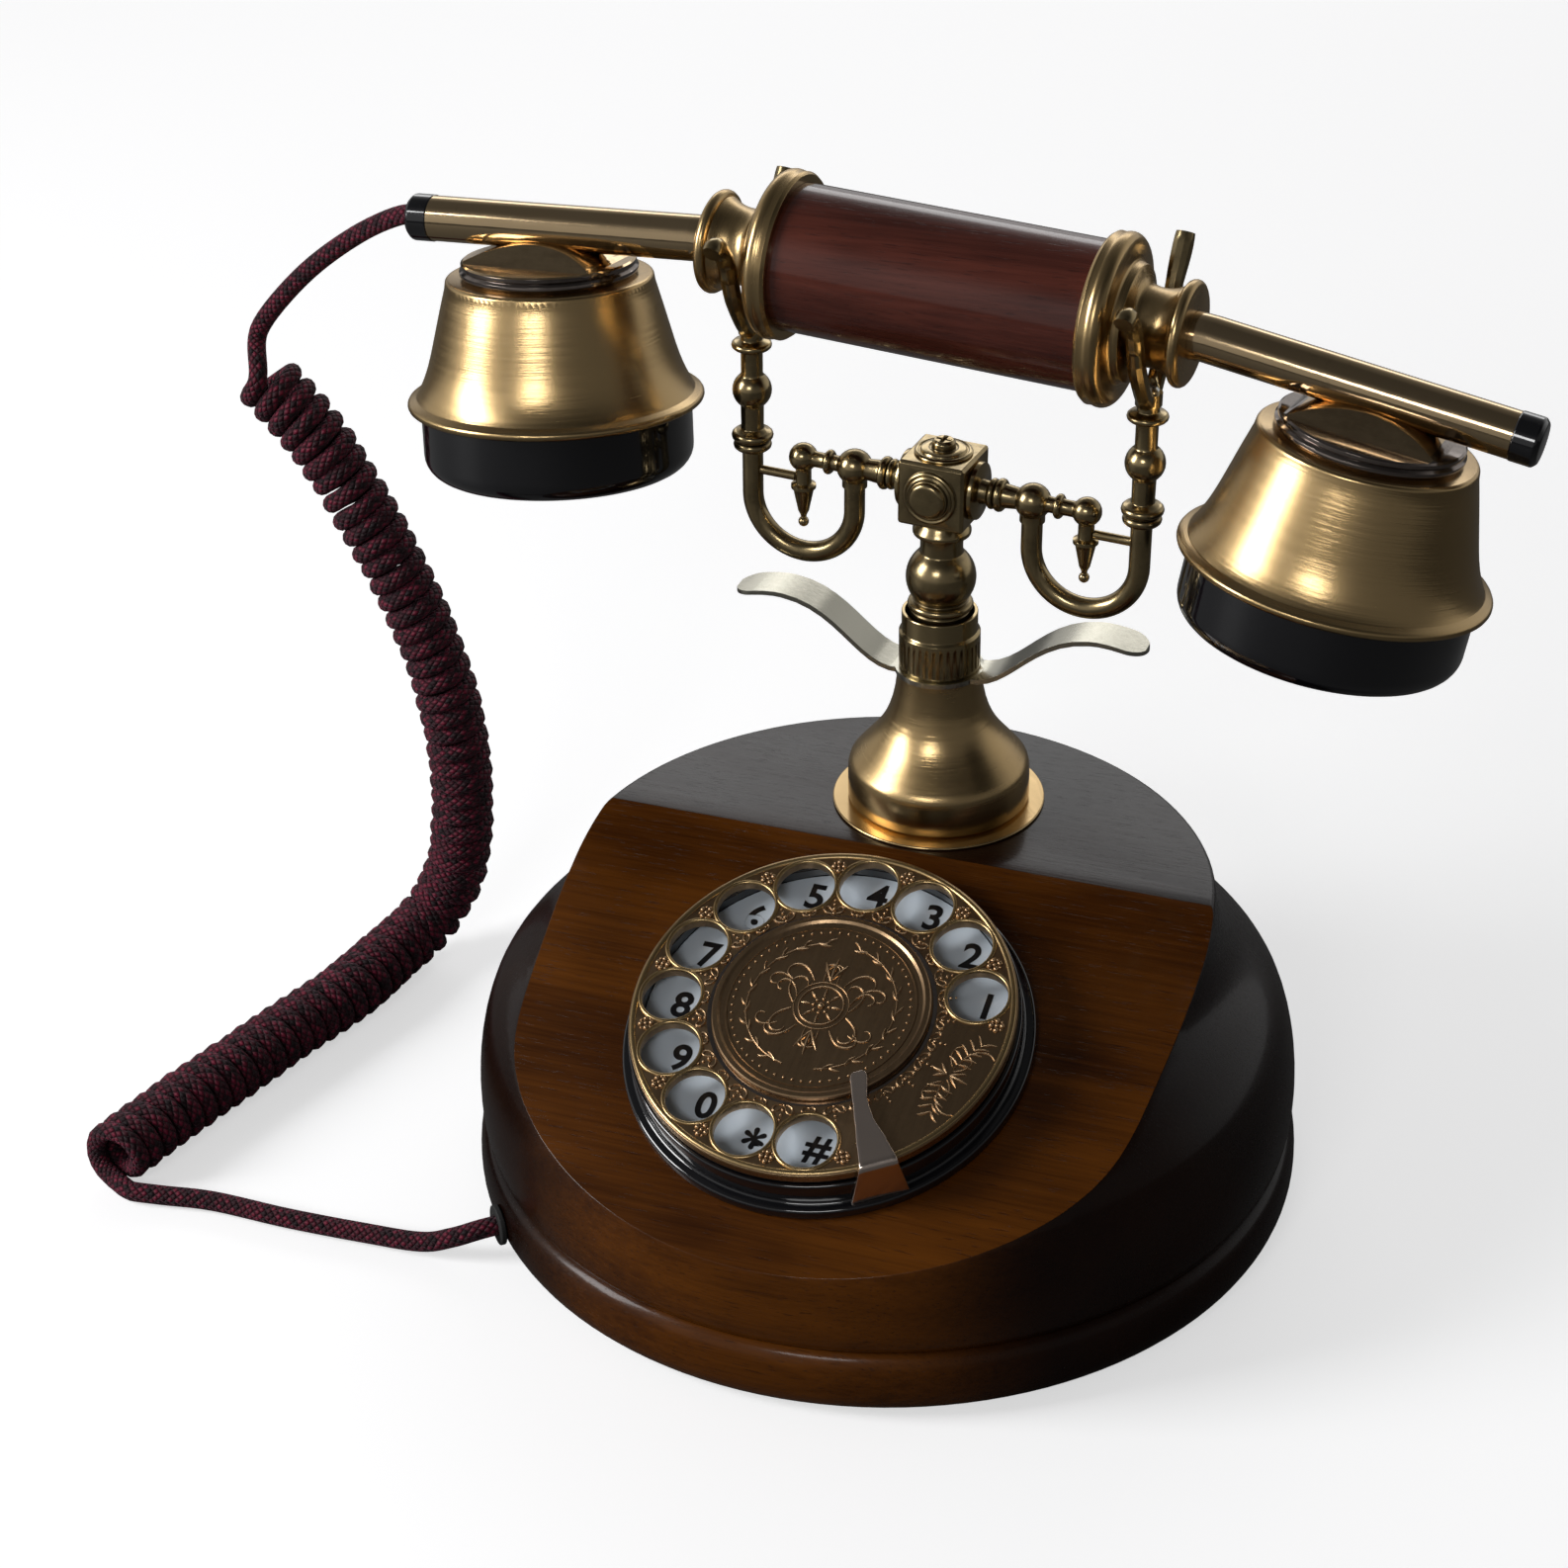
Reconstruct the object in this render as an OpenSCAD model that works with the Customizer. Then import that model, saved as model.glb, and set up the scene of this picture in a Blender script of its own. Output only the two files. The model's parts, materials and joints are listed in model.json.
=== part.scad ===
// Cradle telephone: turned wood base with a sloping dial face, brass stem and cradle, and a
// handset with a wood grip between two brass bells. Millimetres, +Z up, origin at the centre
// of the base, on the surface that the feet stand on. The dial faces -Y.

/* [Base] */
// Largest radius of the plinth moulding
base_r = 100; // [98:1:125]
// Height of the flat top of the base
base_h = 80.8; // [74:0.1:97]
// How far the flat top's edge lies inside the plinth's
shoulder_in = 22.4; // [18:0.1:26]
// Height of the groove between plinth and dome
groove_z = 17.5; // [14:0.1:21]
// Slope of the dial face, in degrees
slant = 21.2; // [17:0.1:25]
// Wood between the dial's housing and the front of the base
front_land = 11.8; // [10:0.1:15]
// Wood between the dial's housing and the upper edge of the slope
back_land = 8.1; // [5:0.1:10]
// Thickness of the wood under the flat top and the dial face
wood_t = 9; // [7:0.1:10.8]
// Depth of the gap between the plinth and the surface it stands on
plinth_gap = 1.2; // [1:0.1:1.4]
// Thickness of the bottom plate
plate_t = 2; // [1.6:0.1:2.4]
// Height of the rubber feet
foot_h = 2.4; // [2:0.1:2.9]

/* [Dial] */
// Radius of the finger wheel
wheel_r = 44.6; // [36:0.1:47]
// Thickness of the finger wheel
wheel_t = 2.6; // [2:0.1:3.2]
// Height of the finger wheel's upper face above the wood
wheel_top = 12.8; // [11.5:0.1:14]
// Metal between the finger holes and the wheel's edge
hole_margin = 2; // [1.5:0.1:3]
// Metal between two neighbouring finger holes
hole_bridge = 0.8; // [0.6:0.1:1.5]
// Metal between the finger holes and the engraved centre disc
disc_margin = 3.4; // [2:0.1:5]
// Radius of the dial shaft
shaft_r = 3; // [2.5:0.1:3.6]

/* [Stem and cradle] */
// Radius of the skirt of the stem's cone
cone_r = 22.2; // [19:0.1:25]
// Height of the cone
cone_h = 35; // [32:0.1:40]
// Half the length of the wing plate
wing_l = 51.5; // [44:0.1:60]
// Outer radius of the threaded stem tube
tube_r = 6; // [5.4:0.1:6.6]
// Side of the centre block
block_s = 16.4; // [14:0.1:18.5]
// Distance of the inner legs of the U tubes from the middle
leg_in = 22.4; // [20.5:0.1:24]
// Radius of the U tubes' section
u_r = 2.5; // [2:0.1:2.9]
// Turn of the cradle on its stem, in degrees
cradle_turn = -4; // [-6:0.1:6]
// Lean of the cradle towards its right end, in degrees
cradle_lean = 0.8; // [0:0.1:1]

/* [Handset] */
// Height of the grip's axis above the stem's foot
grip_rise = 134; // [132.5:0.1:138]
// Half the length of the wood that shows between the cuffs
grip_l = 37; // [31:0.1:45]
// Radius of the wood grip
grip_r = 17.1; // [14.5:0.1:20]
// Radius of the cuffs' rims
cuff_r = 19.7; // [17:0.1:24]
// Radius of the waist that rests in a fork
waist_r = 8.5; // [7.8:0.1:9]
// Radius of the tubes' outside
arm_r = 5.4; // [4.8:0.1:6]
// Distance of the tubes' ends from the middle
reach = 131.5; // [126:0.1:150]
// Droop of the tubes, in degrees
droop = 6.4; // [5:0.1:8]
// Distance of the bells from the middle
bell_x = 101.7; // [98:0.1:108]
// Radius of the bells' lips
bell_r = 35.7; // [31:0.1:40]
// Height of the bells
bell_h = 31; // [27:0.1:36]
// Depth of the black caps below the bells
cap_h = 16.4; // [14:0.1:20]
// Lean of the handset in the forks, in degrees
handset_lean = 1.5; // [0:0.1:1.8]
// Turn of the handset about its own axis, in degrees
handset_tip = -7.4; // [-9:0.1:0]

/* [Cord] */
// Diameter of the cord
cord_d = 4.8; // [4.2:0.1:5.4]
// Outer diameter of the curly part
coil_d = 17; // [15:0.1:17.2]

/* [Hidden] */

$fn = 64;
wood = "#4a1f12";
brass = "#a98a52";
steel = "#8c8b80";
black = "#141416";
ivory = "#dfe6f0";
maroon = "#4a1226";

gap = 0.3;          // clearance between pieces on different bodies
fit = 0.05;         // radial running clearance of a shaft in its bush
slip = 0.1;         // radial clearance of a piece slid over another
big = 300;          // larger than the whole object

/* Curves */
function mix(a, b, t) = a * (1 - t) + b * t;
function bezier(a, b, c, d, n) = [for (i = [0:n]) let(t = i / n)
    mix(mix(mix(a, b, t), mix(b, c, t), t), mix(mix(b, c, t), mix(c, d, t), t), t)];
function arc(c, r, from, to, n) = [for (i = [0:n]) let(a = mix(from, to, i / n))
    c + r * [cos(a), sin(a)]];
function unit(v) = v / norm(v);
function catmull(a, b, c, d, t) = 0.5 * ((2 * b) + (c - a) * t
    + (2 * a - 5 * b + 4 * c - d) * t * t + (3 * b - a - 3 * c + d) * t * t * t);
function smooth(p, n) = let(m = len(p) - 1) [for (i = [0:m - 1], k = [0:n - 1])
    catmull(p[max(i - 1, 0)], p[i], p[i + 1], p[min(i + 2, m)], k / n), p[m]];
function tangents(p) = let(m = len(p) - 1)
    [for (i = [0:m]) unit(p[min(i + 1, m)] - p[max(i - 1, 0)])];
function across(t, u) = unit(u - t * (t * u));

// Tube of round section along the points p; radii holds one radius for each point.
module sweep(p, radii, sides, side_ref) {
    t = tangents(p);
    m = len(p);
    u = [for (i = 0, v = across(t[0], side_ref); i < m;
              i = i + 1, v = across(t[min(i, m - 1)], v)) v];
    rings = [for (i = [0:m - 1], k = [0:sides - 1]) let(a = 360 * k / sides)
        p[i] + radii[i] * (cos(a) * u[i] + sin(a) * cross(t[i], u[i]))];
    faces = concat(
        [[for (k = [0:sides - 1]) k]],
        [[for (k = [sides - 1:-1:0]) (m - 1) * sides + k]],
        [for (i = [0:m - 2], k = [0:sides - 1]) let(j = (k + 1) % sides)
            [i * sides + k, (i + 1) * sides + k, (i + 1) * sides + j]],
        [for (i = [0:m - 2], k = [0:sides - 1]) let(j = (k + 1) % sides)
            [i * sides + k, (i + 1) * sides + j, i * sides + j]]);
    polyhedron(points = rings, faces = faces);
}
function same(r, p) = [for (q = p) r];

// Turned shape: outline of [radius, height] points.
module turned(outline) {
    rotate_extrude() polygon(outline);
}
// Ring with a plain bore.
module collar(r_out, r_in, h, z = 0) {
    translate([0, 0, z]) difference() {
        cylinder(r = r_out, h = h);
        translate([0, 0, -1]) cylinder(r = r_in, h = h + 2);
    }
}
// Round bar with bulged bead between two heights.
function bead(r, z0, z1, n = 8) = arc([r - (z1 - z0) / 2, (z0 + z1) / 2], (z1 - z0) / 2, -90, 90, n);
// Cross-head recess, cut down from z = 0.
module cross_recess(r, depth) {
    for (a = [0, 90]) rotate(a) translate([-r, -r / 4, -depth]) cube([2 * r, r / 2, depth + 1]);
}

/* Frames of reference */
housing_r = wheel_r + 3.3;
dial_y = housing_r + front_land - base_r;
edge_y = dial_y + housing_r * cos(slant) + back_land;
washer_r = cone_r + 3.8;
stem_y = edge_y + washer_r + 0.95;
top_r = base_r - shoulder_in;
dial_z = base_h - (edge_y - dial_y) * tan(slant);
module on_dial() {
    translate([0, dial_y, dial_z]) rotate([slant, 0, 0]) children();
}
stem_z = base_h;
lean_z = stem_z + 45;
axis_z = stem_z + grip_rise;
module on_stem() {
    translate([0, stem_y, 0]) children();
}
module on_cradle() {
    on_stem() rotate([0, 0, cradle_turn]) translate([0, 0, lean_z]) rotate([0, cradle_lean, 0])
        translate([0, 0, -lean_z]) children();
}
module on_handset() {
    on_cradle() translate([0, 0, axis_z]) rotate([handset_tip, handset_lean, 0]) children();
}
// Both sides: side is -1 for the left and 1 for the right.
module on_side(side) {
    if (side < 0) mirror([1, 0, 0]) children();
    else children();
}

/* Base */
dome_low = base_r - 2.6;
plate_z = foot_h;
ledge_z = plate_z + plate_t;
plinth_in = base_r - 14;
ledge_in = plinth_in - 7;
screw_ring = plinth_in - 3.5;
screw_angles = [20, 110, 200, 290];
module below_slope(drop) {
    difference() {
        children();
        translate([0, edge_y, base_h]) rotate([slant, 0, 0])
            translate([-big / 2, -big, -drop]) cube([big, big, big]);
    }
}
dome_outline = concat(
    [[0, groove_z], [dome_low - 0.6, groove_z]],
    bezier([dome_low + 0.2, groove_z + 0.7], [base_r - 0.6, groove_z + 4],
           [base_r, groove_z + 20], [base_r - 4.6, groove_z + 31], 12),
    bezier([base_r - 5.2, groove_z + 32.2], [base_r - 9, groove_z + 40],
           [top_r + 3.6, base_h - 20], [top_r + 0.9, base_h - 8], 12),
    [[top_r, base_h - 1], [top_r - 0.4, base_h - 0.3], [top_r - 1, base_h], [0, base_h]]);
dome_in = dome_low - 10;
ceiling_z = base_h - wood_t;
well_r = wheel_r - 4.6;
module base_dome() {
    color(wood) difference() {
        below_slope(0) turned(dome_outline);
        below_slope(wood_t) turned([[0, groove_z - 1], [dome_in, groove_z - 1],
            [dome_in, groove_z + 26], [top_r - 10, ceiling_z], [0, ceiling_z]]);
        on_dial() translate([0, 0, -wood_t - 2]) cylinder(r = well_r, h = wood_t + 6);
        on_stem() translate([0, 0, ceiling_z - 1]) cylinder(r = tube_r + slip, h = wood_t + 2);
    }
}
jack_w = 13;
jack_h = 11;
jack_z = ledge_z + 0.6;
jack_y = base_r - 3.4;
cord_angle = 222.5;
sleeve_r = cord_d / 2 + 1.3;
cord_z = ledge_z + sleeve_r + 0.2;
module from_cord_exit() {
    rotate([0, 0, cord_angle]) translate([0, 0, cord_z]) rotate([0, 90, 0]) children();
}
module base_plinth() {
    color(wood) difference() {
        turned(concat(
            [[ledge_in, ledge_z], [plinth_in, ledge_z], [plinth_in, plinth_gap]],
            bezier([base_r - 5.4, plinth_gap], [base_r - 1.8, plinth_gap],
                   [base_r, plinth_gap + 3.4], [base_r, plinth_gap + 7.6], 8),
            bezier([base_r, plinth_gap + 8.4], [base_r, groove_z - 4],
                   [base_r - 0.8, groove_z - 1], [dome_low - 0.3, groove_z], 8),
            [[dome_in, groove_z], [ledge_in, groove_z - 6]]));
        translate([-jack_w / 2 - slip, ledge_in - 4, jack_z - slip])
            cube([jack_w + 2 * slip, base_r, jack_h + 2 * slip]);
        from_cord_exit() cylinder(r = sleeve_r + slip, h = base_r + 10);
        for (a = screw_angles) rotate(a) translate([screw_ring, 0, ledge_z - 1])
            cylinder(r = 1.3, h = 8);
    }
}
foot_r = 7;
foot_ring = plinth_in - 16;
pillar_r = 3;
board_z = 14;
board_w = 66;
board_d = 44;
board_y = 34;
pillars = [for (x = [-1, 1], y = [-1, 1])
    [x * (board_w / 2 - 5), board_y + y * (board_d / 2 - 5)]];
sound_x = -2;
sound_y = -40;
sound_r = 18;
module bottom_plate() {
    color("#2a2a2c") difference() {
        union() {
            translate([0, 0, plate_z]) cylinder(r = plinth_in - gap, h = plate_t);
            for (p = pillars) translate([p[0], p[1], plate_z])
                cylinder(r = pillar_r, h = board_z - plate_z);
        }
        for (a = screw_angles) rotate(a) translate([screw_ring, 0, 0]) cylinder(r = 1.8, h = 9);
        translate([sound_x, sound_y, 0]) {
            cylinder(r = 1.5, h = 9);
            for (a = [0:60:300]) rotate(a) translate([7, 0, 0]) cylinder(r = 1.5, h = 9);
        }
    }
}
module rubber_feet() {
    color("#1c1c1c") for (a = [0:90:270]) rotate(a) translate([foot_ring, 0, 0])
        turned([[0, 0], [foot_r - 0.8, 0], [foot_r, 0.8], [foot_r, foot_h], [0, foot_h]]);
}
module bottom_screws() {
    color(steel) for (a = screw_angles) rotate(a) translate([screw_ring, 0, 0]) difference() {
        turned([[0, plate_z - 1.4], [2.4, plate_z - 1.4], [3, plate_z], [1.2, plate_z],
                [1.2, ledge_z + 5], [0, ledge_z + 5.8]]);
        translate([0, 0, plate_z - 1.4]) mirror([0, 0, 1]) cross_recess(1.6, 0.9);
    }
}
module circuit_board() {
    color("#1f5a38") translate([0, board_y, board_z]) {
        difference() {
            translate([-board_w / 2, -board_d / 2, 0]) cube([board_w, board_d, 1.6]);
            for (p = pillars) translate([p[0], p[1] - board_y, -1]) cylinder(r = 1.2, h = 4);
        }
        translate([-22, -8, 1.6]) cube([14, 8, 3]);
        translate([-20, 8, 1.6]) cylinder(r = 4, h = 10);
        translate([-9, 9, 1.6]) cylinder(r = 3, h = 8);
        translate([20, 6, 1.6]) cube([9, 12, 8]);
        translate([22, -12, 1.6]) cylinder(r = 3, h = 6);
    }
}
module sounder() {
    color("#30302f") translate([sound_x, sound_y, ledge_z]) turned([[0, 0], [sound_r, 0],
        [sound_r, 3], [sound_r - 5, 6], [sound_r - 9, 6], [sound_r - 9, 11], [0, 11]]);
}
// Hook switch: a bracket under the top of the base carries the switch and the lever's pin.
rod_r = 2.2;
rod_low = ceiling_z - 15;
pin_x = 14;
pin_z = rod_low - 2.8;
pin_r = 1.5;
bracket_t = 1.5;
module hook_switch() {
    color(steel) on_stem() {
        translate([0, 0, ceiling_z - bracket_t]) difference() {
            translate([-10, -9, 0]) cube([32, 18, bracket_t]);
            translate([0, 0, -1]) cylinder(r = tube_r + slip, h = bracket_t + 2);
        }
        translate([pin_x - 4, 6, pin_z - 6]) cube([12, bracket_t, ceiling_z - pin_z + 6 - bracket_t]);
        translate([pin_x, 7, pin_z]) rotate([90, 0, 0]) cylinder(r = pin_r, h = 12);
        translate([pin_x + 4.5, -6, pin_z - 5]) cube([6, 12.5, 11]);
    }
}
lever_l = pin_x + 3;
module hook_lever() {
    color(steel) on_stem() translate([pin_x, 4.6, pin_z]) rotate([90, 0, 0]) difference() {
        union() {
            cylinder(r = 3, h = 9);
            translate([-lever_l, 0.4, 0]) cube([lever_l, 2, 9]);
            translate([0, -1, 0]) cube([4, 2, 9]);
        }
        translate([0, 0, -1]) cylinder(r = pin_r + fit, h = 11);
    }
}
module line_jack() {
    color(black) difference() {
        translate([-jack_w / 2, jack_y - 15, jack_z]) cube([jack_w, 15, jack_h]);
        translate([-jack_w / 2 + 1.5, jack_y - 11, jack_z + 3]) cube([jack_w - 3, 12, jack_h - 4.5]);
        translate([-3, jack_y - 11, jack_z + 1.4]) cube([6, 12, 4]);
    }
}
grommet_out = base_r + 0.02;
module cord_grommet() {
    color(black) from_cord_exit() difference() {
        union() {
            translate([0, 0, ledge_in - 3]) cylinder(r = sleeve_r, h = grommet_out - ledge_in + 3);
            translate([0, 0, grommet_out]) cylinder(r = sleeve_r + 1.2, h = 1.4);
        }
        translate([0, 0, ledge_in - 4]) cylinder(r = cord_d / 2 + fit, h = grommet_out + 3);
    }
}

/* Dial */
wall_r = wheel_r + 0.8;
flange_t = 3;
plate_low = 1;
plate_h = 5.4;
wheel_low = wheel_top - wheel_t;
first_angle = 18.4;
step_angle = 24.05;
hole_angles = [for (i = [0:11]) first_angle + step_angle * i];
half_step = sin(step_angle / 2);
finger_r = ((wheel_r - hole_margin) * half_step - hole_bridge / 2) / (1 + half_step);
holes_r = wheel_r - hole_margin - finger_r;
disc_r = holes_r - finger_r - disc_margin;
module dial_housing() {
    color(black) on_dial() difference() {
        rotate_extrude() polygon(concat(
            [[0, -2], [well_r - gap, -2], [well_r - gap, 0], [housing_r, 0]],
            arc([housing_r - 0.8, flange_t - 0.8], 0.8, 0, 90, 4), [[wall_r, flange_t]],
            arc([wall_r - 0.6, wheel_low - 1.4], 0.6, 0, 90, 4),
            [[wall_r - 2.4, wheel_low - 0.8], [wall_r - 2.4, plate_low], [0, plate_low]]));
        translate([0, 0, -3]) cylinder(r = shaft_r + 0.6, h = 8);
    }
}
module number_plate() {
    color(ivory) on_dial()
        collar(wall_r - 2.4 - slip, disc_r - 6, plate_h, plate_low);
}
bore_r = shaft_r - 0.8;
module finger_wheel() {
    color(brass) on_dial() translate([0, 0, wheel_low]) difference() {
        turned([[0, 0], [wheel_r - 0.4, 0], [wheel_r, 0.4], [wheel_r, wheel_t - 0.5],
                [wheel_r - 0.5, wheel_t], [0, wheel_t]]);
        for (a = hole_angles) rotate(a) translate([holes_r, 0, -1])
            cylinder(r = finger_r, h = wheel_t + 2);
        translate([0, 0, -1]) cylinder(r = bore_r, h = wheel_t + 2);
    }
}
disc_t = 1.5;
module centre_disc() {
    color(brass) on_dial() translate([0, 0, wheel_top])
        turned([[0, 0], [disc_r, 0], [disc_r, 0.5], [disc_r - 1, disc_t], [0, disc_t]]);
}
// Finger stop: a strip from the housing's rim over the wheel, ending above the centre disc.
stop_angle = 301;
stop_z = wheel_top + disc_t + 0.5;
stop_t = 1.1;
stop_in = disc_r - 4;
stop_out = wall_r + slip + stop_t;
stop_foot = 13;
module finger_stop() {
    color("#b9b2a6") on_dial() rotate(stop_angle) {
        translate([0, 0, stop_z]) linear_extrude(stop_t) polygon(concat(
            bezier([stop_in, 2], [stop_in + 8, 3], [stop_out - 10, 1], [stop_out, -stop_foot / 2 + 1], 8),
            [[stop_out, stop_foot / 2 + 1]],
            bezier([stop_out - 1, stop_foot / 2 + 1], [stop_out - 8, 6.5], [stop_in + 8, 7.5],
                   [stop_in, 5.6], 8)));
        translate([stop_out - stop_t, -stop_foot / 2 + 1, flange_t])
            cube([stop_t, stop_foot, stop_z - flange_t + stop_t / 2]);
    }
}
frame_z = -9;
frame_t = 1.5;
frame_r = well_r - 5;
gear_z = -19;
gear_t = 2.4;
gear_teeth = 60;
pinion_teeth = 12;
gear_module = 0.6;
gear_r = gear_teeth * gear_module / 2;
pinion_r = pinion_teeth * gear_module / 2;
gear_far = gear_r + pinion_r;
governor_r = 8;
spindle_r = 1.5;
module dial_frame() {
    color(steel) on_dial() {
        difference() {
            union() {
                translate([0, 0, frame_z]) cylinder(r = frame_r, h = frame_t);
                translate([0, 0, gear_z + gear_t + gap]) cylinder(r = 6, h = frame_z - gear_z - gear_t);
                rotate(90) translate([gear_far, 0, gear_z + gear_t + 1.5])
                    cylinder(r = 3, h = frame_z - gear_z - gear_t - 1.4);
            }
            translate([0, 0, gear_z]) cylinder(r = shaft_r + fit, h = 20);
            rotate(90) translate([gear_far, 0, gear_z]) cylinder(r = spindle_r + fit, h = 20);
        }
        for (a = [30, 150, 270]) rotate(a) translate([frame_r - 4, 0, frame_z + 0.5])
            cylinder(r = 2.5, h = -2.5 - frame_z);
    }
}
module dial_shaft() {
    color(steel) on_dial() {
        translate([0, 0, gear_z - 2]) cylinder(r = shaft_r, h = wheel_low - 2 - gear_z + 2);
        translate([0, 0, wheel_low - 2]) cylinder(r = 9, h = 2);
        translate([0, 0, wheel_low]) cylinder(r = bore_r - fit, h = wheel_t - 0.2);
    }
}
// Slender teeth with straight flanks: the pair runs with backlash.
module toothed(teeth, r, bore, h, turn) {
    tooth = 90 / teeth;
    difference() {
        rotate(turn) linear_extrude(h) polygon([for (i = [0:teeth - 1], k = [0:3])
            let(a = 360 * i / teeth + [-1.35, -0.5, 0.5, 1.35][k] * tooth,
                q = r + [-1.15, 0.85, 0.85, -1.15][k] * gear_module) q * [cos(a), sin(a)]]);
        translate([0, 0, -1]) cylinder(r = bore, h = h + 2);
    }
}
module drive_gear() {
    color(brass) on_dial() translate([0, 0, gear_z])
        toothed(gear_teeth, gear_r, shaft_r, gear_t, 90);
}
module governor() {
    color(brass) on_dial() rotate(90) translate([gear_far, 0, 0]) {
        translate([0, 0, gear_z]) toothed(pinion_teeth, pinion_r, spindle_r, gear_t,
            180 + 180 / pinion_teeth);
        translate([0, 0, gear_z - 1]) cylinder(r = spindle_r, h = frame_z - gear_z + 2);
        translate([0, 0, gear_z - 5]) cylinder(r = governor_r, h = 4);
    }
}
spring_turns = 5;
module return_spring() {
    steps = spring_turns * 12;
    spiral = [for (i = [0:steps]) let(a = 30 * i, q = shaft_r + 2 + 8 * i / steps) [q, a]];
    color(steel) on_dial() translate([0, 0, frame_z + frame_t + 1]) linear_extrude(3)
        polygon(concat([for (s = spiral) s[0] * [cos(s[1]), sin(s[1])]],
            [for (i = [steps:-1:0]) let(s = spiral[i]) (s[0] + 0.6) * [cos(s[1]), sin(s[1])]]));
}

/* Stem */
washer_t = 0.8;
cone_low = stem_z + washer_t;
neck_r = 10.2;
wing_z = cone_low + cone_h;
wing_t = 1.2;
collar_z = wing_z + wing_t;
collar_h = 14.8;
knurl_h = 9.6;
socket_r = 8.35;
socket_z = collar_z + 3;
module stem_washer() {
    color(brass) on_stem() collar(washer_r, tube_r + slip, washer_t, stem_z);
}
module stem_cone() {
    shell = 1.6;
    outside = concat([[cone_r - 0.8, 0], [cone_r, 0.8]], [[cone_r, 8.6]],
        bezier([cone_r - 0.5, 10.4], [cone_r - 5.5, 17], [neck_r + 1.2, 20], [neck_r, cone_h - 1], 10),
        [[neck_r, cone_h]]);
    inside = [[tube_r + slip, cone_h], [tube_r + slip, cone_h - 4], [neck_r - shell, cone_h - 4],
        [neck_r + 1.4, 20], [cone_r - 5, 12], [cone_r - shell, 7], [cone_r - shell, 0]];
    color(brass) on_stem() translate([0, 0, cone_low]) turned(concat(outside, inside));
}
// Wing plate: a strip bent like a gull's wings, clamped between cone and collar.
wing_w = 10.5;
wing_rise = 15.2;
wing_line = concat([[neck_r - 1, 0]],
    bezier([neck_r + 1, 0.1], [20, 1.5], [25, wing_rise - 1.2], [wing_l - 13, wing_rise], 10),
    bezier([wing_l - 11, wing_rise + 0.1], [wing_l - 7, wing_rise], [wing_l - 4, wing_rise - 0.8],
           [wing_l, wing_rise - 1.8], 4));
module wing() {
    intersection() {
        rotate([90, 0, 0]) linear_extrude(wing_w, center = true) polygon(concat(wing_line,
            [for (i = [len(wing_line) - 1:-1:0]) wing_line[i] + [-0.35, wing_t]]));
        union() {
            translate([0, -wing_w / 2, -5]) cube([wing_l - wing_w / 2, wing_w, 40]);
            translate([wing_l - wing_w / 2, 0, -5]) cylinder(r = wing_w / 2, h = 40);
        }
    }
}
module wing_plate() {
    color(steel) on_stem() translate([0, 0, wing_z]) difference() {
        union() {
            cylinder(r = neck_r + 0.6, h = wing_t);
            wing();
            mirror([1, 0, 0]) wing();
        }
        translate([0, 0, -1]) cylinder(r = tube_r + slip, h = wing_t + 2);
        translate([0, 0, wing_t]) cylinder(r = neck_r + 0.6, h = 6);
    }
}
module knurled_collar() {
    rib_count = 36;
    color(brass) on_stem() translate([0, 0, collar_z]) difference() {
        turned([[0, 0], [9.4, 0], [9.8, 0.4], [9.8, knurl_h - 0.3], [9.5, knurl_h],
                [9.15, knurl_h + 0.4], [9.15, collar_h - 0.2], [9, collar_h], [0, collar_h]]);
        translate([0, 0, -1]) cylinder(r = tube_r + slip, h = collar_h);
        translate([0, 0, socket_z - collar_z]) cylinder(r = socket_r, h = collar_h);
        for (i = [0:rib_count - 1]) rotate(360 * i / rib_count)
            translate([9.55, -0.35, 1]) cube([1, 0.7, knurl_h - 3]);
    }
}
tube_top = socket_z - 0.5;
rod_play = 1.2;
module stem_tube() {
    color(steel) on_stem()
        collar(tube_r, rod_r + rod_play, tube_top - ceiling_z + 9, ceiling_z - 9);
}
module stem_nut() {
    nut_z = ceiling_z - bracket_t - 4.5;
    color(steel) on_stem() translate([0, 0, nut_z]) difference() {
        cylinder(r = 10, h = 4.5, $fn = 6);
        translate([0, 0, -1]) cylinder(r = tube_r + fit, h = 7, $fn = 64);
    }
}

/* Cradle */
post_x = grip_l + 11.9;
spring_low = tube_top + 0.2;
plunger_low = spring_low + 6;
ring_z = collar_z + collar_h + 0.8;
ball_z = ring_z + 8.2;
ball_r = 8.4;
block_z = stem_z + 84.8;
block_low = block_z - block_s / 2;
module plunger() {
    color(brass) on_cradle() turned(concat(
        [[0, rod_low], [rod_r, rod_low], [rod_r, plunger_low], [7.2, plunger_low], [7.2, ring_z - 0.4]],
        bead(7.9, ring_z, ring_z + 2.2, 6), [[6.3, ring_z + 2.4]],
        arc([0, ball_z], ball_r, -40, 52, 14),
        [[5.1, ball_z + 8], [5.1, block_low - 5], [6.9, block_low - 4.2], [7, block_low - 3.2],
         [5.6, block_low - 0.8], [5.6, block_low], [0, block_low]]));
}
module cradle_spring() {
    turns = 4;
    steps = 10;
    wire = 0.5;
    h = plunger_low - spring_low - 2 * wire - 0.4;
    line = [for (i = [0:turns * steps]) let(a = 360 * i / steps)
        [4.6 * cos(a), 4.6 * sin(a), spring_low + wire + 0.2 + h * i / (turns * steps)]];
    color(steel) on_cradle() sweep(line, same(wire, line), 6, [1, 0, 0]);
}
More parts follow.
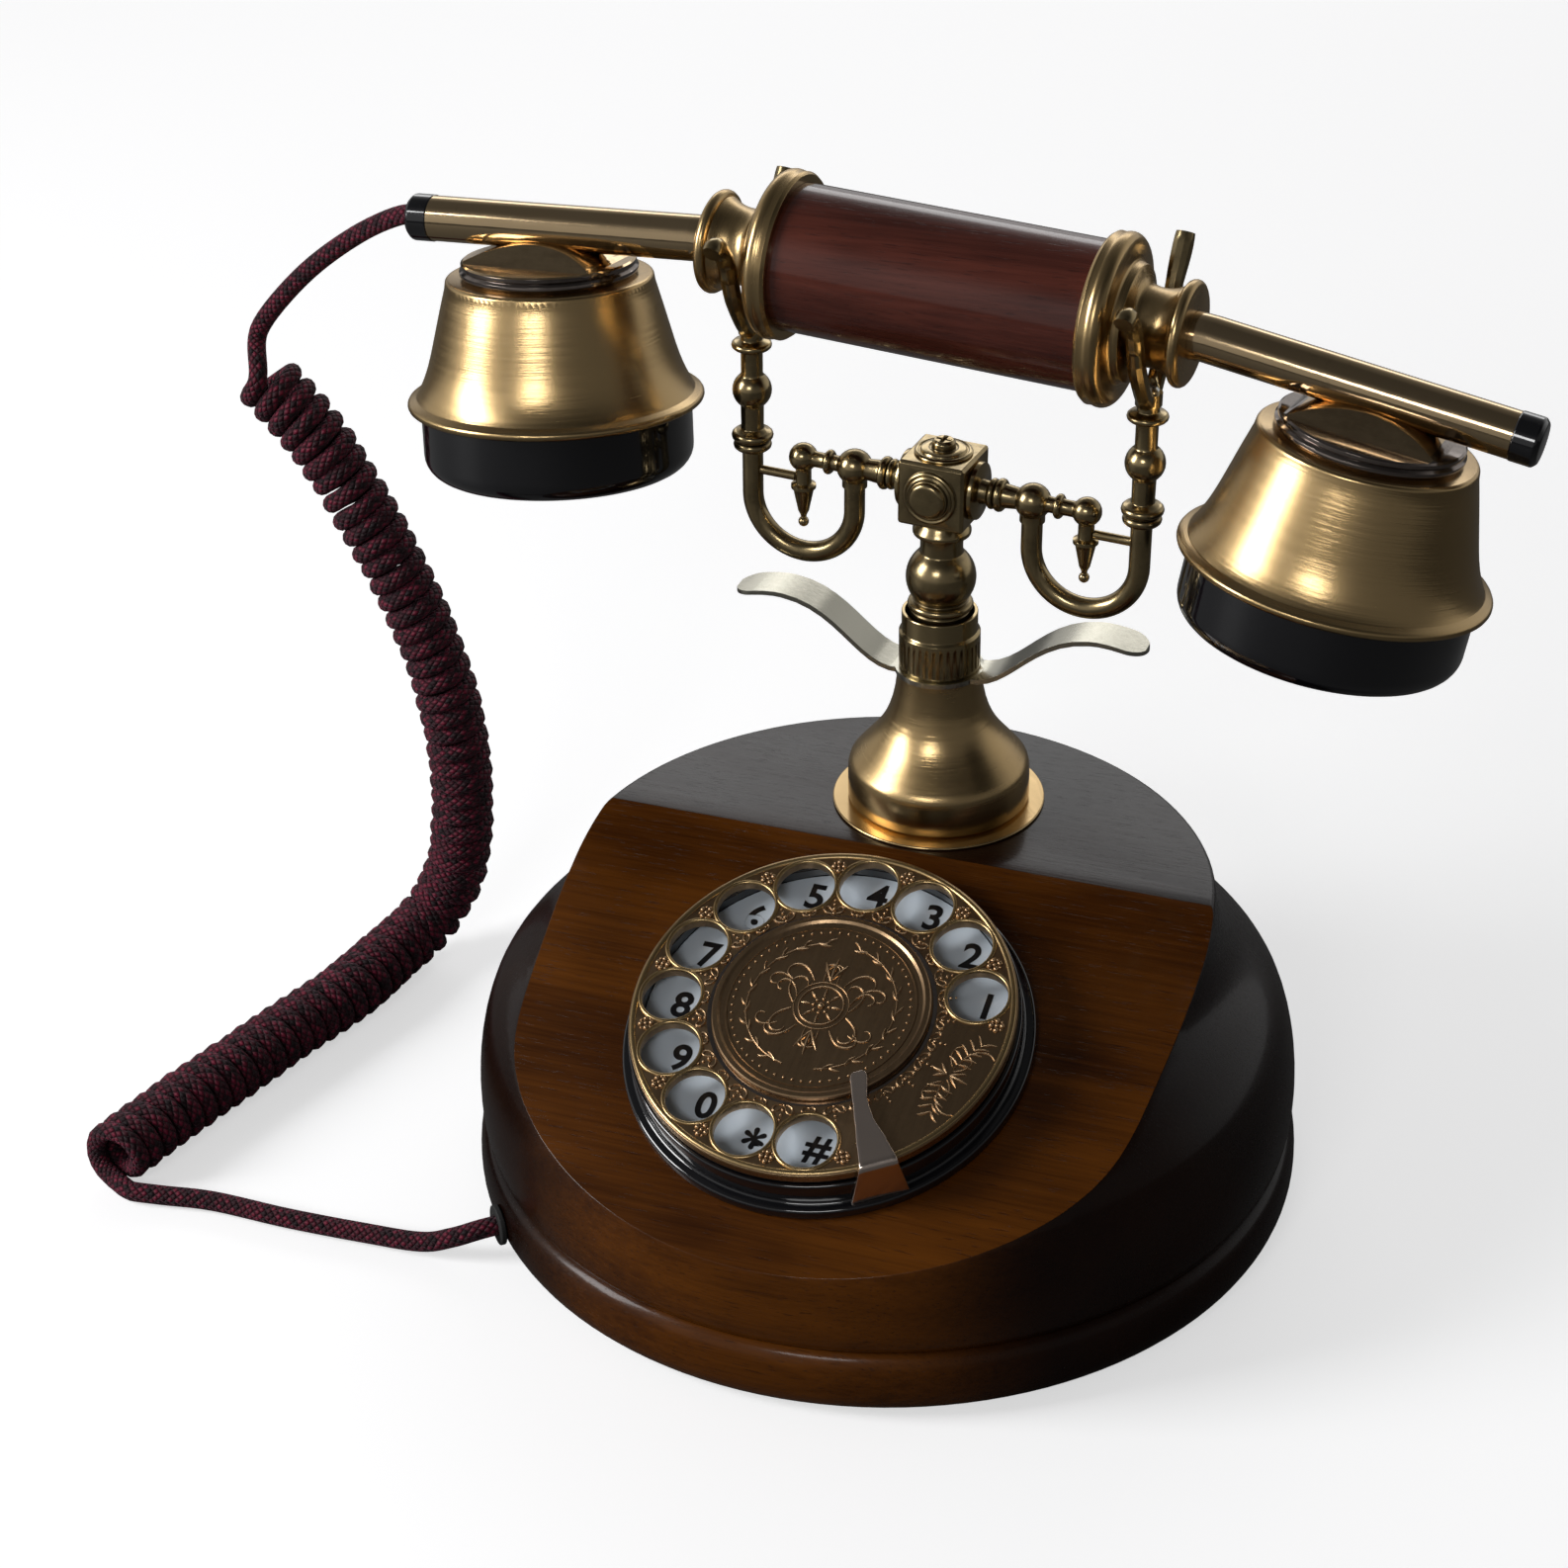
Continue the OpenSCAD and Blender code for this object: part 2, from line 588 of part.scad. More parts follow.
module chamfered(s, c) {
    h = s / 2;
    outline = [[-h + c, -h], [h - c, -h], [h, -h + c], [h, h - c], [h - c, h], [-h + c, h],
               [-h, h - c], [-h, -h + c]];
    intersection() {
        linear_extrude(s, center = true) polygon(outline);
        rotate([90, 0, 0]) linear_extrude(s, center = true) polygon(outline);
        rotate([0, 90, 0]) linear_extrude(s, center = true) polygon(outline);
    }
}
module boss() {
    turned(concat([[0, 0], [6.5, 0], [6.5, 0.7], [6, 1], [5.5, 0.7], [5.1, 1.1], [4.7, 0.9],
        [4.7, 1.6]], arc([3.3, 1.6], 1.2, 0, 90, 5), [[0, 2.8]]));
}
module centre_block() {
    color(brass) on_cradle() translate([0, 0, block_z]) {
        chamfered(block_s, 0.7);
        translate([0, -block_s / 2, 0]) rotate([90, 0, 0]) boss();
        translate([0, block_s / 2, 0]) rotate([-90, 0, 0]) boss();
    }
}
module top_screw() {
    color(brass) on_cradle() translate([0, 0, block_z + block_s / 2]) difference() {
        turned([[0, 0], [6.9, 0], [6.9, 0.5], [6.2, 0.9], [5.6, 0.5], [5.2, 1.2], [3.6, 1.4],
                [3.2, 1.1], [2.8, 1.1], [2.8, 2.6], [2.2, 3.3], [0, 3.3]]);
        translate([0, 0, 3.3]) cross_recess(1.8, 1);
    }
}
// Side arms: turned bars from the block out to the drop, with the U tube hung from the ball.
big_ball = 4.35;
small_ball = 3.5;
drop_x = (leg_in + post_x) / 2;
stub_low = block_z - big_ball - 0.6;
leg_r = u_r + 0.5;
module arm() {
    translate([0, 0, block_z]) {
        rotate([0, 90, 0]) turned(concat(
            [[0, block_s / 2], [6.6, block_s / 2], [7, block_s / 2 + 0.4], [6.8, block_s / 2 + 1.3],
             [3, block_s / 2 + 1.6], [2.8, block_s / 2 + 3.4]],
            bead(3.7, block_s / 2 + 3.6, block_s / 2 + 5.2, 6),
            bead(4, block_s / 2 + 5.2, block_s / 2 + 7.4, 6), [[2.6, leg_in - 4]],
            arc([0, leg_in], big_ball, -53, 62, 10), [[1.9, leg_in + 4.4], [1.9, leg_in + 5.6]],
            bead(3, leg_in + 5.6, leg_in + 7.4, 6), [[1.9, leg_in + 7.8], [1.9, drop_x - 3.4]],
            arc([0, drop_x], small_ball, -56, 90, 10)));
        translate([leg_in, 0, stub_low - block_z]) cylinder(r = leg_r, h = 3);
    }
    translate([drop_x, 0, 0]) turned(concat(
        [[0, block_z - 17.9]], arc([0, block_z - 16.9], 1.3, -90, 60, 6),
        [[0.8, block_z - 15], [1.3, block_z - 14], [2.5, block_z - 8.2], [3, block_z - 7.9],
         [3, block_z - 7], [1.9, block_z - 6.6], [1.9, block_z - 2], [0, block_z - 2]]));
}
module arm_left() { color(brass) on_cradle() on_side(-1) arm(); }
module arm_right() { color(brass) on_cradle() on_side(1) arm(); }
bend_r = (post_x - leg_in) / 2;
bend_z = block_z - 11.5;
post_z = block_z - 0.4;
brace_z = block_z - 5.4;
module u_tube() {
    translate([drop_x, 0, bend_z]) rotate([90, 0, 0])
        rotate_extrude(angle = -180) translate([bend_r, 0]) circle(r = u_r);
    translate([leg_in, 0, bend_z]) cylinder(r = u_r, h = stub_low - bend_z);
    translate([post_x, 0, bend_z]) cylinder(r = u_r, h = post_z - bend_z);
    translate([drop_x + 2.05, 0, brace_z]) rotate([0, 90, 0])
        cylinder(r = 1.1, h = post_x - drop_x - 3);
}
module u_tube_left() { color(brass) on_cradle() on_side(-1) u_tube(); }
module u_tube_right() { color(brass) on_cradle() on_side(1) u_tube(); }
post_ball_z = post_z + 15.4;
flange_z = post_z + 26;
post_top = post_z + 29.8;
module post() {
    translate([post_x, 0, 0]) turned(concat(
        [[0, post_z], [3.6, post_z]], bead(4.6, post_z + 0.2, post_z + 2.6, 6),
        bead(5, post_z + 2.6, post_z + 5, 6), [[2.7, post_z + 5.6]],
        arc([0, post_ball_z], 4.7, -54, 54, 10), [[2.6, post_ball_z + 4.4], [2.6, flange_z - 0.6]],
        bead(4.8, flange_z, flange_z + 1.8, 6), [[2.6, flange_z + 2.2], [2.6, post_top], [0, post_top]]));
}
module post_left() { color(brass) on_cradle() on_side(-1) post(); }
module post_right() { color(brass) on_cradle() on_side(1) post(); }
// Fork: a boss with two prongs; the front one ends in a forward curl, the back one in a leaf.
boss_top = post_top + 3;
prong_r = 2.1;
seat_z = boss_top - 1;
waist_low = axis_z - post_x * sin(handset_lean);
prong_y = waist_r + prong_r + 0.9;
// The stretch that holds the waist, between 55 and 85 degrees from its lowest point
function hold(side, a) = [0, side * prong_y * sin(a), waist_low - prong_y * cos(a)];
front_line = [[0, -1.6, seat_z - 1], [0, -4.8, seat_z + 2.7], hold(-1, 55), hold(-1, 85),
    [0, -prong_y - 0.4, seat_z + 16], [0, -prong_y - 1.6, seat_z + 20],
    [0, -prong_y - 4.2, seat_z + 23.8], [0, -prong_y - 7, seat_z + 25.8],
    [0, -prong_y - 9.2, seat_z + 25]];
back_line = [[0, 1.6, seat_z - 1], [0, 4.8, seat_z + 2.7], hold(1, 55), hold(1, 85),
    [0, prong_y + 0.2, seat_z + 16.5], [0, prong_y + 2.4, seat_z + 22],
    [0, prong_y + 6, seat_z + 27.5], [0, prong_y + 8.4, seat_z + 31.5]];
// A prong swells by this much over its last stretch.
prong_swell = 0.35;
screw_head_r = 2.3;
module prong(line, last) {
    path = smooth(line, 3);
    m = len(path) - 1;
    radii = [for (i = [0:m])
        prong_r + (i > last ? prong_swell * sin(180 * (i - last) / (m - last + 1)) : 0)];
    sweep(path, radii, 10, [1, 0, 0]);
}
module fork() {
    translate([post_x, 0, 0]) {
        difference() {
            translate([0, 0, post_top]) cylinder(r = 3.1, h = boss_top - post_top);
            translate([0, 0, post_top - 1]) cylinder(r = 1.3, h = 8);
        }
        difference() {
            union() {
                prong(front_line, 18);
                prong(back_line, 15);
            }
            translate([0, 0, post_top - 5]) cylinder(r = 3.1, h = boss_top - post_top + 5);
            translate([0, 0, boss_top - 0.1]) cylinder(r = screw_head_r + slip, h = 6);
        }
    }
}
module fork_left() { color(brass) on_cradle() on_side(-1) fork(); }
module fork_right() { color(brass) on_cradle() on_side(1) fork(); }
module fork_screws() {
    color(steel) on_cradle() for (side = [-1, 1]) translate([side * post_x, 0, boss_top]) difference() {
        turned([[0, -2.8], [1.2, -2.8], [1.2, 0], [screw_head_r, 0], [screw_head_r, 0.6], [1.6, 1.3],
            [0, 1.5]]);
        translate([0, 0, 1.5]) cross_recess(1.4, 0.8);
    }
}

/* Handset: shapes are drawn along +X for the right half and mirrored for the left */
grip_in = 11;
cuff_x = grip_l;
lip = 4.4;
hub_x = cuff_x + 6.6;
flange_x = cuff_x + 18.4;
cuff_end = cuff_x + 21.4;
flange_r = 12.1;
tube_wall = 1;
tube_in_x = cuff_x - 6;
module grip() {
    color(wood) on_handset() rotate([0, 90, 0]) translate([0, 0, -grip_l - lip])
        collar(grip_r, grip_in, 2 * (grip_l + lip));
}
module cuff() {
    rotate([0, 90, 0]) difference() {
        turned(concat(
            [[0, cuff_x], [cuff_r - 0.8, cuff_x], [cuff_r - 0.2, cuff_x + 0.8]],
            arc([cuff_r - 2.6, cuff_x + 3.4], 2.6, -30, 60, 8),
            [[cuff_r - 2.8, cuff_x + 5.9], [14.2, hub_x - 0.4], [13.7, hub_x], [13.2, hub_x + 1.6],
             [11.6, hub_x + 2.2]],
            bezier([waist_r + 1.4, hub_x + 3], [waist_r, hub_x + 4.4], [waist_r, flange_x - 3],
                   [flange_r - 1.4, flange_x], 8),
            arc([flange_r - 1.5, (flange_x + cuff_end) / 2], 1.5, -90, 90, 8),
            [[0, cuff_end]]));
        translate([0, 0, cuff_x - 1]) cylinder(r = grip_r + fit, h = lip + 1);
        translate([0, 0, cuff_x - 1]) cylinder(r = arm_r + slip, h = 40);
    }
}
module cuff_left() { color(brass) on_handset() on_side(-1) cuff(); }
module cuff_right() { color(brass) on_handset() on_side(1) cuff(); }
// Bent tube: straight through the cuff, a short bend outside it, then straight to its end.
bend_arc = 40;
bend_at = cuff_end + 0.2;
tip_x = bend_at + bend_arc * sin(droop);
tip_z = -bend_arc * (1 - cos(droop));
tube_l = (reach - tip_x) / cos(droop);
module at_tip() {
    translate([tip_x, 0, tip_z]) rotate([0, droop, 0]) children();
}
// The straight part beyond the bend is a hair thicker and laps over the bend's end.
lap = 0.5;
lap_r = 0.02;
module bent_tube(r, start, length) {
    translate([start, 0, 0]) rotate([0, 90, 0]) cylinder(r = r, h = bend_at - start);
    translate([bend_at, 0, -bend_arc]) rotate([-90, 0, 0]) rotate(-90)
        rotate_extrude(angle = droop) translate([bend_arc, 0]) circle(r = r);
    at_tip() translate([-lap, 0, 0]) rotate([0, 90, 0]) cylinder(r = r + lap_r, h = length + lap);
}
module tube() {
    difference() {
        bent_tube(arm_r, tube_in_x, tube_l);
        bent_tube(arm_r - tube_wall, tube_in_x - 1, tube_l + 1);
    }
}
module tube_left() { color(brass) on_handset() on_side(-1) tube(); }
module tube_right() { color(brass) on_handset() on_side(1) tube(); }
end_l = 6.2;
module end_cap() {
    at_tip() translate([tube_l, 0, 0]) rotate([0, 90, 0]) turned([[0, -6], [arm_r - tube_wall - slip, -6],
        [arm_r - tube_wall - slip, 0], [arm_r + 0.2, 0], [arm_r + 0.2, end_l - 1],
        [arm_r - 0.8, end_l], [0, end_l]]);
}
module cord_end_cap() {
    color(black) on_handset() on_side(-1) difference() {
        end_cap();
        at_tip() translate([tube_l - 7, 0, 0]) rotate([0, 90, 0]) cylinder(r = cord_d / 2 + fit, h = 20);
    }
}
module plain_end_cap() { color(black) on_handset() on_side(1) end_cap(); }
// Bells hang square to the tubes.
bell_at = (bell_x - tip_x) / cos(droop);
shoulder_z = -arm_r - 6;
lip_z = shoulder_z - bell_h;
cap_low = lip_z - cap_h;
module at_bell() {
    at_tip() translate([bell_at, 0, 0]) children();
}
shoulder_r = bell_r - 10.8;
bell_wall = 1.4;
neck_hole = 12;
cap_r = bell_r - 3.1;
cap_in = cap_r - 2.2;
cap_in_bell = 1.4;
module bell() {
    outside = concat([[shoulder_r - 1, shoulder_z]], arc([shoulder_r - 1, shoulder_z - 1], 1, 70, 0, 4),
        bezier([shoulder_r + 0.2, shoulder_z - 2.4], [shoulder_r + 4.6, lip_z + 13],
               [bell_r - 6, lip_z + 9], [bell_r - 2.2, lip_z + 2.6], 10),
        arc([bell_r - 1.1, lip_z + 1], 1.1, 70, -90, 6));
    inside = [[cap_r + slip, lip_z - 0.1], [cap_r + slip, lip_z + cap_in_bell + 0.3],
        [bell_r - 6.2, lip_z + 7], [shoulder_r + 1.8, lip_z + 16],
        [shoulder_r - bell_wall, shoulder_z - 4], [shoulder_r - bell_wall, shoulder_z - bell_wall],
        [neck_hole, shoulder_z - bell_wall], [neck_hole, shoulder_z]];
    turned(concat(outside, inside));
}
module bell_left() { color(brass) on_handset() on_side(-1) at_bell() bell(); }
module bell_right() { color(brass) on_handset() on_side(1) at_bell() bell(); }
// Saddle: a dark ring on the bell's shoulder and a vaulted block that the tube lies in.
saddle_r = shoulder_r - 4;
vault_r = 36;
module saddle() {
    difference() {
        union() {
            turned([[0, shoulder_z], [saddle_r - 0.6, shoulder_z], [saddle_r + 0.4, shoulder_z + 1],
                    [saddle_r + 0.4, shoulder_z + 1.8], [saddle_r - 0.4, shoulder_z + 2.4],
                    [saddle_r, shoulder_z + 2.8], [saddle_r, shoulder_z + 3.6],
                    [saddle_r - 0.5, shoulder_z + 4], [0, shoulder_z + 4]]);
            intersection() {
                translate([0, 0, shoulder_z + 8.6 - vault_r]) rotate([90, 0, 0])
                    cylinder(r = vault_r, h = 60, center = true);
                translate([0, 0, shoulder_z + 3]) cylinder(r = saddle_r - 0.5, h = 8);
                rotate([90, 0, 90]) linear_extrude(60, center = true)
                    polygon([[-15, shoulder_z + 2], [15, shoulder_z + 2], [7, shoulder_z + 9],
                             [-7, shoulder_z + 9]]);
            }
        }
        rotate([0, 90, 0]) cylinder(r = arm_r + fit, h = 80, center = true);
    }
}
module saddle_left() { color(brass) on_handset() on_side(-1) at_bell() saddle(); }
module saddle_right() { color(brass) on_handset() on_side(1) at_bell() saddle(); }
floor_z = cap_low + 3.4;
module voice_cap() {
    difference() {
        turned(concat([[cap_r - 9, cap_low + 1]],
            arc([cap_r - 5, cap_low + 5], 5, -90, 0, 8),
            [[cap_r, lip_z + cap_in_bell], [cap_in, lip_z + cap_in_bell], [cap_in, cap_low + 6],
             [cap_in - 3, floor_z], [0, floor_z], [0, cap_low + 1]]));
        translate([0, 0, cap_low - 1]) cylinder(r = 1.5, h = 8);
        for (a = [0:60:300]) rotate(a) translate([7, 0, cap_low - 1]) cylinder(r = 1.5, h = 8);
        for (a = [0:30:330]) rotate(a) translate([14, 0, cap_low - 1]) cylinder(r = 1.5, h = 8);
    }
}
module earpiece_cap() { color(black) on_handset() on_side(-1) at_bell() voice_cap(); }
module mouthpiece_cap() { color(black) on_handset() on_side(1) at_bell() voice_cap(); }
module earpiece_capsule() {
    color(steel) on_handset() on_side(-1) at_bell() translate([0, 0, floor_z])
        turned([[0, 0], [cap_in - 4, 0], [cap_in - 4, 8], [14, 8], [14, 14], [0, 14]]);
}
module microphone_capsule() {
    color(steel) on_handset() on_side(1) at_bell() translate([0, 0, floor_z])
        turned([[0, 0], [cap_in - 4, 0], [cap_in - 4, 7], [8, 7], [8, 10], [0, 10]]);
}

/* Cord: the upper part hangs on the handset, the curly part and the tail lie on the base's side */
upper_route = [[-126, 47.25, 212.6], [-133, 47.75, 212.1], [-140, 48.3, 211.5], [-153, 49.6, 204.5],
    [-168, 50, 193], [-181, 50, 179], [-187, 50, 168]];
coil_route = [[-183, 50, 162], [-170, 50, 148], [-159, 50, 130], [-149, 50, 110], [-141, 50, 88],
    [-137, 50, 66], [-137, 50, 44], [-140, 49, 25], [-146, 42, 12], [-150, 28, 9], [-153, 7, 9],
    [-159, -13, 9], [-164, -32, 9], [-169, -50, 9], [-173, -67, 9], [-176, -80, 9]];
tail_route = [[-170, -80, 3], [-160, -78, 2.6], [-147, -76, 2.6], [-127, -76, 2.6],
    [-107, -75, 2.6], [-92, -74.5, 3.4], [-84, -73.5, 6], [-77.5, -71, cord_z],
    [-71.5, -65.5, cord_z]];
module cord_upper() {
    line = smooth(upper_route, 2);
    color(maroon) sweep(line, same(cord_d / 2, line), 10, [0, 1, 0]);
}
module cord_coil() {
    line = smooth(coil_route, 2);
    color(maroon) sweep(line, same(coil_d / 2, line), 12, [0, 1, 0]);
}
module cord_lower() {
    line = smooth(tail_route, 2);
    color(maroon) sweep(line, same(cord_d / 2, line), 10, [0, 0, 1]);
}

base_dome();
base_plinth();
bottom_plate();
rubber_feet();
bottom_screws();
circuit_board();
sounder();
hook_switch();
hook_lever();
line_jack();
cord_grommet();
dial_housing();
number_plate();
finger_wheel();
centre_disc();
finger_stop();
dial_frame();
dial_shaft();
drive_gear();
governor();
return_spring();
stem_washer();
stem_cone();
wing_plate();
knurled_collar();
stem_tube();
stem_nut();
plunger();
cradle_spring();
centre_block();
top_screw();
arm_left();
arm_right();
u_tube_left();
u_tube_right();
post_left();
post_right();
fork_left();
fork_right();
fork_screws();
grip();
cuff_left();
cuff_right();
tube_left();
tube_right();
cord_end_cap();
plain_end_cap();
saddle_left();
saddle_right();
bell_left();
bell_right();
earpiece_cap();
mouthpiece_cap();
earpiece_capsule();
microphone_capsule();
cord_upper();
cord_coil();
cord_lower();
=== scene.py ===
import json
import math
import random

import bmesh
import bpy
from bpy.props import FloatProperty, FloatVectorProperty, PointerProperty
from mathutils import Matrix, Vector
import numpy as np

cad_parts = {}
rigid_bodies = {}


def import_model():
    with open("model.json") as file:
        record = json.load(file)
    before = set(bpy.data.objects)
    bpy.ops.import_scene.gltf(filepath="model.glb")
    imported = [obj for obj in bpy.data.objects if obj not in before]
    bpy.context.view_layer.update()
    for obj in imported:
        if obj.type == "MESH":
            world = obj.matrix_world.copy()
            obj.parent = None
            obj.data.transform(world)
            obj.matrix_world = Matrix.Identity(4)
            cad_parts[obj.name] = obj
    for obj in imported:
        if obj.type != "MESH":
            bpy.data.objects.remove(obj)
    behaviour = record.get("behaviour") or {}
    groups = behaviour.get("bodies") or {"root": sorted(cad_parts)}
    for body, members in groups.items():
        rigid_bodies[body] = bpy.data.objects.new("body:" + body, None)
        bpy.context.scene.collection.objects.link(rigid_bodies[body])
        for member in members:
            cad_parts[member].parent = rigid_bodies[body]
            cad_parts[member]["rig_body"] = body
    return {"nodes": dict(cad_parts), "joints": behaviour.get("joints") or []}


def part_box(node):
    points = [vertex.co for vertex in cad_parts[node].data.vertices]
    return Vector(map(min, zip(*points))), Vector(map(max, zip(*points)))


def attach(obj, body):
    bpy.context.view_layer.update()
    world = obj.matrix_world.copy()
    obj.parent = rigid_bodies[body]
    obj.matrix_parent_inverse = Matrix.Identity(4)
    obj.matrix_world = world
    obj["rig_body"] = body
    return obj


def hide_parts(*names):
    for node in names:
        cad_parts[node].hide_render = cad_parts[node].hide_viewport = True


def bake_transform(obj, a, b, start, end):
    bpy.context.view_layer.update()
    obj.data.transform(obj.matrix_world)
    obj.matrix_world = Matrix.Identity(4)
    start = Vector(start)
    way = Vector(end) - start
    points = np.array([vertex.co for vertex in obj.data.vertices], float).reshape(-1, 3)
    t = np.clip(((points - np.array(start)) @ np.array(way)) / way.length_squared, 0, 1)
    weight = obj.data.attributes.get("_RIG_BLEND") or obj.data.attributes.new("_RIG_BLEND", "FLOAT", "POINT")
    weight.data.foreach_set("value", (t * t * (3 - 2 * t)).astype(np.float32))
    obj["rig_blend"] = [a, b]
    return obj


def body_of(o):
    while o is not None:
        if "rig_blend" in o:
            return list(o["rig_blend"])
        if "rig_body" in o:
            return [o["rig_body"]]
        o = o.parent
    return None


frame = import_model()

bl_info = {
    "name": "Cradle telephone",
    "version": (1, 0, 0),
    "blender": (4, 5, 0),
    "location": "View3D > Sidebar > Telephone",
    "description": "Wood, brass and braided cord of a cradle telephone, built around its CAD model",
    "category": "Object",
}

MM = 0.001
TURN = 2 * math.pi
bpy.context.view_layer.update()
JOINTS = {joint["name"]: joint for joint in frame["joints"]}


# ---------------------------------------------------------------------------
# Frames of reference, worked out from the CAD model
# ---------------------------------------------------------------------------

def centre(node):
    """Middle of a CAD node's box."""
    low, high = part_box(node)
    return (low + high) / 2


def dial_place():
    """The dial's frame: origin on the wood at the dial's axis, local Z out of the dial."""
    hinge = JOINTS["dial_turn"]
    out = -Vector(hinge["axis"])
    right = Vector((1, 0, 0))
    turned = Matrix((right, out.cross(right), out)).transposed().to_4x4()
    return Matrix.Translation(hinge["pos_m"]) @ turned


def handset_place():
    """The handset's frame: origin in the middle of the grip, local X along it."""
    along = (centre("cuff_right") - centre("cuff_left")).normalized()
    back = Vector((0, 0, 1)).cross(along).normalized()
    turned = Matrix((along, back, along.cross(back))).transposed().to_4x4()
    tipped = Matrix.Rotation(bpy.context.scene.handset.tip, 4, "X")
    return Matrix.Translation(centre("grip")) @ turned @ tipped


# ---------------------------------------------------------------------------
# Sizes and colours that a user would change
# ---------------------------------------------------------------------------

def shade(name, rgb):
    """A colour property."""
    return FloatVectorProperty(name=name, description=name, subtype="COLOR", size=3, min=0, max=1,
                               default=rgb)


def size(name, value, low=0.0, high=500.0):
    """A length in millimetres."""
    return FloatProperty(name=name, description=name + ", in millimetres", min=low, max=high, default=value)


def angle(name, degrees):
    """An angle, kept in radians."""
    return FloatProperty(name=name, description=name, subtype="ANGLE", default=math.radians(degrees))


class StageSettings(bpy.types.PropertyGroup):
    """Camera and floor."""
    azimuth: angle("Camera azimuth", 20.32)
    elevation: angle("Camera elevation", 30.82)
    roll: angle("Camera roll", -0.75)
    distance: size("Camera distance", 736.9, 300, 3000)
    target: FloatVectorProperty(name="Target", description="Point the camera looks at, in millimetres",
                                default=(-4.1, -29.0, 120.9))
    lens: FloatProperty(name="Lens", description="Focal length in millimetres", default=75.66)
    shift: FloatVectorProperty(name="Shift", description="Camera shift, as shares of the frame", size=2,
                               default=(-0.027, 0.0023))
    floor: shade("Floor", (0.80, 0.80, 0.81))
    glow: FloatProperty(name="Floor's glow", description="Light the floor gives to the camera alone", min=0,
                        default=0.57)


class CordSettings(bpy.types.PropertyGroup):
    """The braided cord."""
    diameter: size("Cord diameter", 4.8, 3, 7)
    coil: size("Curl's outer diameter", 17.0, 12, 20)
    pitch: size("Curl's pitch", 5.0, 4.8, 12)
    yarn: shade("Yarn", (0.22, 0.012, 0.04))
    # Darker flecks of yarn, and also the painted shade in the grooves between the strands.
    dark_yarn_and_strand_shade: shade("Dark yarn and painted strand shade", (0.008, 0.002, 0.004))


class WoodSettings(bpy.types.PropertyGroup):
    """The turned wood pieces."""
    light: shade("Light wood", (0.155, 0.046, 0.0035))
    dark: shade("Dark wood", (0.022, 0.0048, 0.0008))
    stain: shade("Stain", (0.0040, 0.0012, 0.0010))


class DialSettings(bpy.types.PropertyGroup):
    """The dial and its ornaments."""
    wheel: size("Radius of the finger wheel", 44.6)
    wheel_top: size("Height of the finger wheel's face", 12.8)
    wheel_thick: size("Thickness of the finger wheel", 2.6)
    hole: size("Radius of a finger hole", 7.014)
    holes: size("Radius of the circle of holes", 35.586)
    first: angle("First hole", 18.4)
    step: angle("Angle between holes", 24.05)
    disc: size("Radius of the centre disc", 25.17)
    disc_top: size("Height of the centre disc's face", 14.3)
    plate_top: size("Height of the number plate's face", 6.4)
    relief: size("How far the ornaments' middle lies above the faces", 0.05)
    cross_in: size("How far the crosses lie inside the wheel's edge", 4.1)
    scroll_gap: size("From the centre disc's edge to the scrolls", 1.4)
    spray_turn: angle("How far before the first hole's edge the spray is", 24)
    ink_rise: size("How far the digits stand above the number plate", 0.06)
    digit: size("Height of the digits", 7.0)
    digit_x: size("How far right of its hole a digit stands", 0.9)
    digit_y: size("How far above its hole a digit stands", 1.9)
    stop_turn: angle("Turn of the finger stop", 301)
    stop_tip: size("Distance of the finger stop's tip from the middle", 21.2)
    stop_flat: size("Length of the finger stop's blade", 23.7)
    stop_bend: size("Radius of the finger stop's bend", 1.7)
    stop_top: size("Height of the finger stop's blade", 15.9)
    stop_low: size("Height of the finger stop's foot", 3.1)
    stop_thick: size("Thickness of the finger stop", 1.1)
    bronze: shade("Bronze", (0.40, 0.265, 0.150))
    patina: shade("Patina", (0.085, 0.052, 0.028))


class HandsetSettings(bpy.types.PropertyGroup):
    """The handset. Lengths run outwards from its middle."""
    tip: angle("Turn about its own axis", -7.4)
    grip: size("Half length of the wood between the cuffs", 37.0)
    elbow: size("From the wood's end to the tubes' bends", 21.6)
    droop: angle("Droop of the tubes", 6.4)
    bend: size("Radius of the tubes' bends", 40.0)
    bell_x: size("Distance of the bells", 101.7)
    vault: size("How far below a tube's line its saddle's ring begins", 7.3)


class BrassSettings(bpy.types.PropertyGroup):
    """Metal colours."""
    bright: shade("Brushed brass", (0.55, 0.385, 0.185))
    dull: shade("Dull brass", (0.235, 0.160, 0.078))
    antique: shade("Antique brass", (0.44, 0.335, 0.175))
    patina: shade("Dark patina", (0.045, 0.036, 0.022))


SETTINGS = {"stage": StageSettings, "cord": CordSettings, "wood": WoodSettings, "dial": DialSettings,
            "handset": HandsetSettings, "brass": BrassSettings}


# ---------------------------------------------------------------------------
# Node trees
# ---------------------------------------------------------------------------

def add(tree, kind, inputs=None, **settings):
    """A new node; an input is given a value or is joined to a socket."""
    node = tree.nodes.new("ShaderNode" + kind)
    for key, value in settings.items():
        setattr(node, key, value)
    for key, value in (inputs or {}).items():
        if isinstance(value, bpy.types.NodeSocket):
            tree.links.new(value, node.inputs[key])
        else:
            node.inputs[key].default_value = value
    return node


def calc(tree, operation, *values, clamp=False):
    """Result of a math node."""
    return add(tree, "Math", dict(enumerate(values)), operation=operation, use_clamp=clamp).outputs[0]


def blend_colours(tree, factor, first, second):
    """Colour between two colours."""
    inputs = {0: factor, 6: opaque(first), 7: opaque(second)}
    return add(tree, "Mix", inputs, data_type="RGBA").outputs[2]


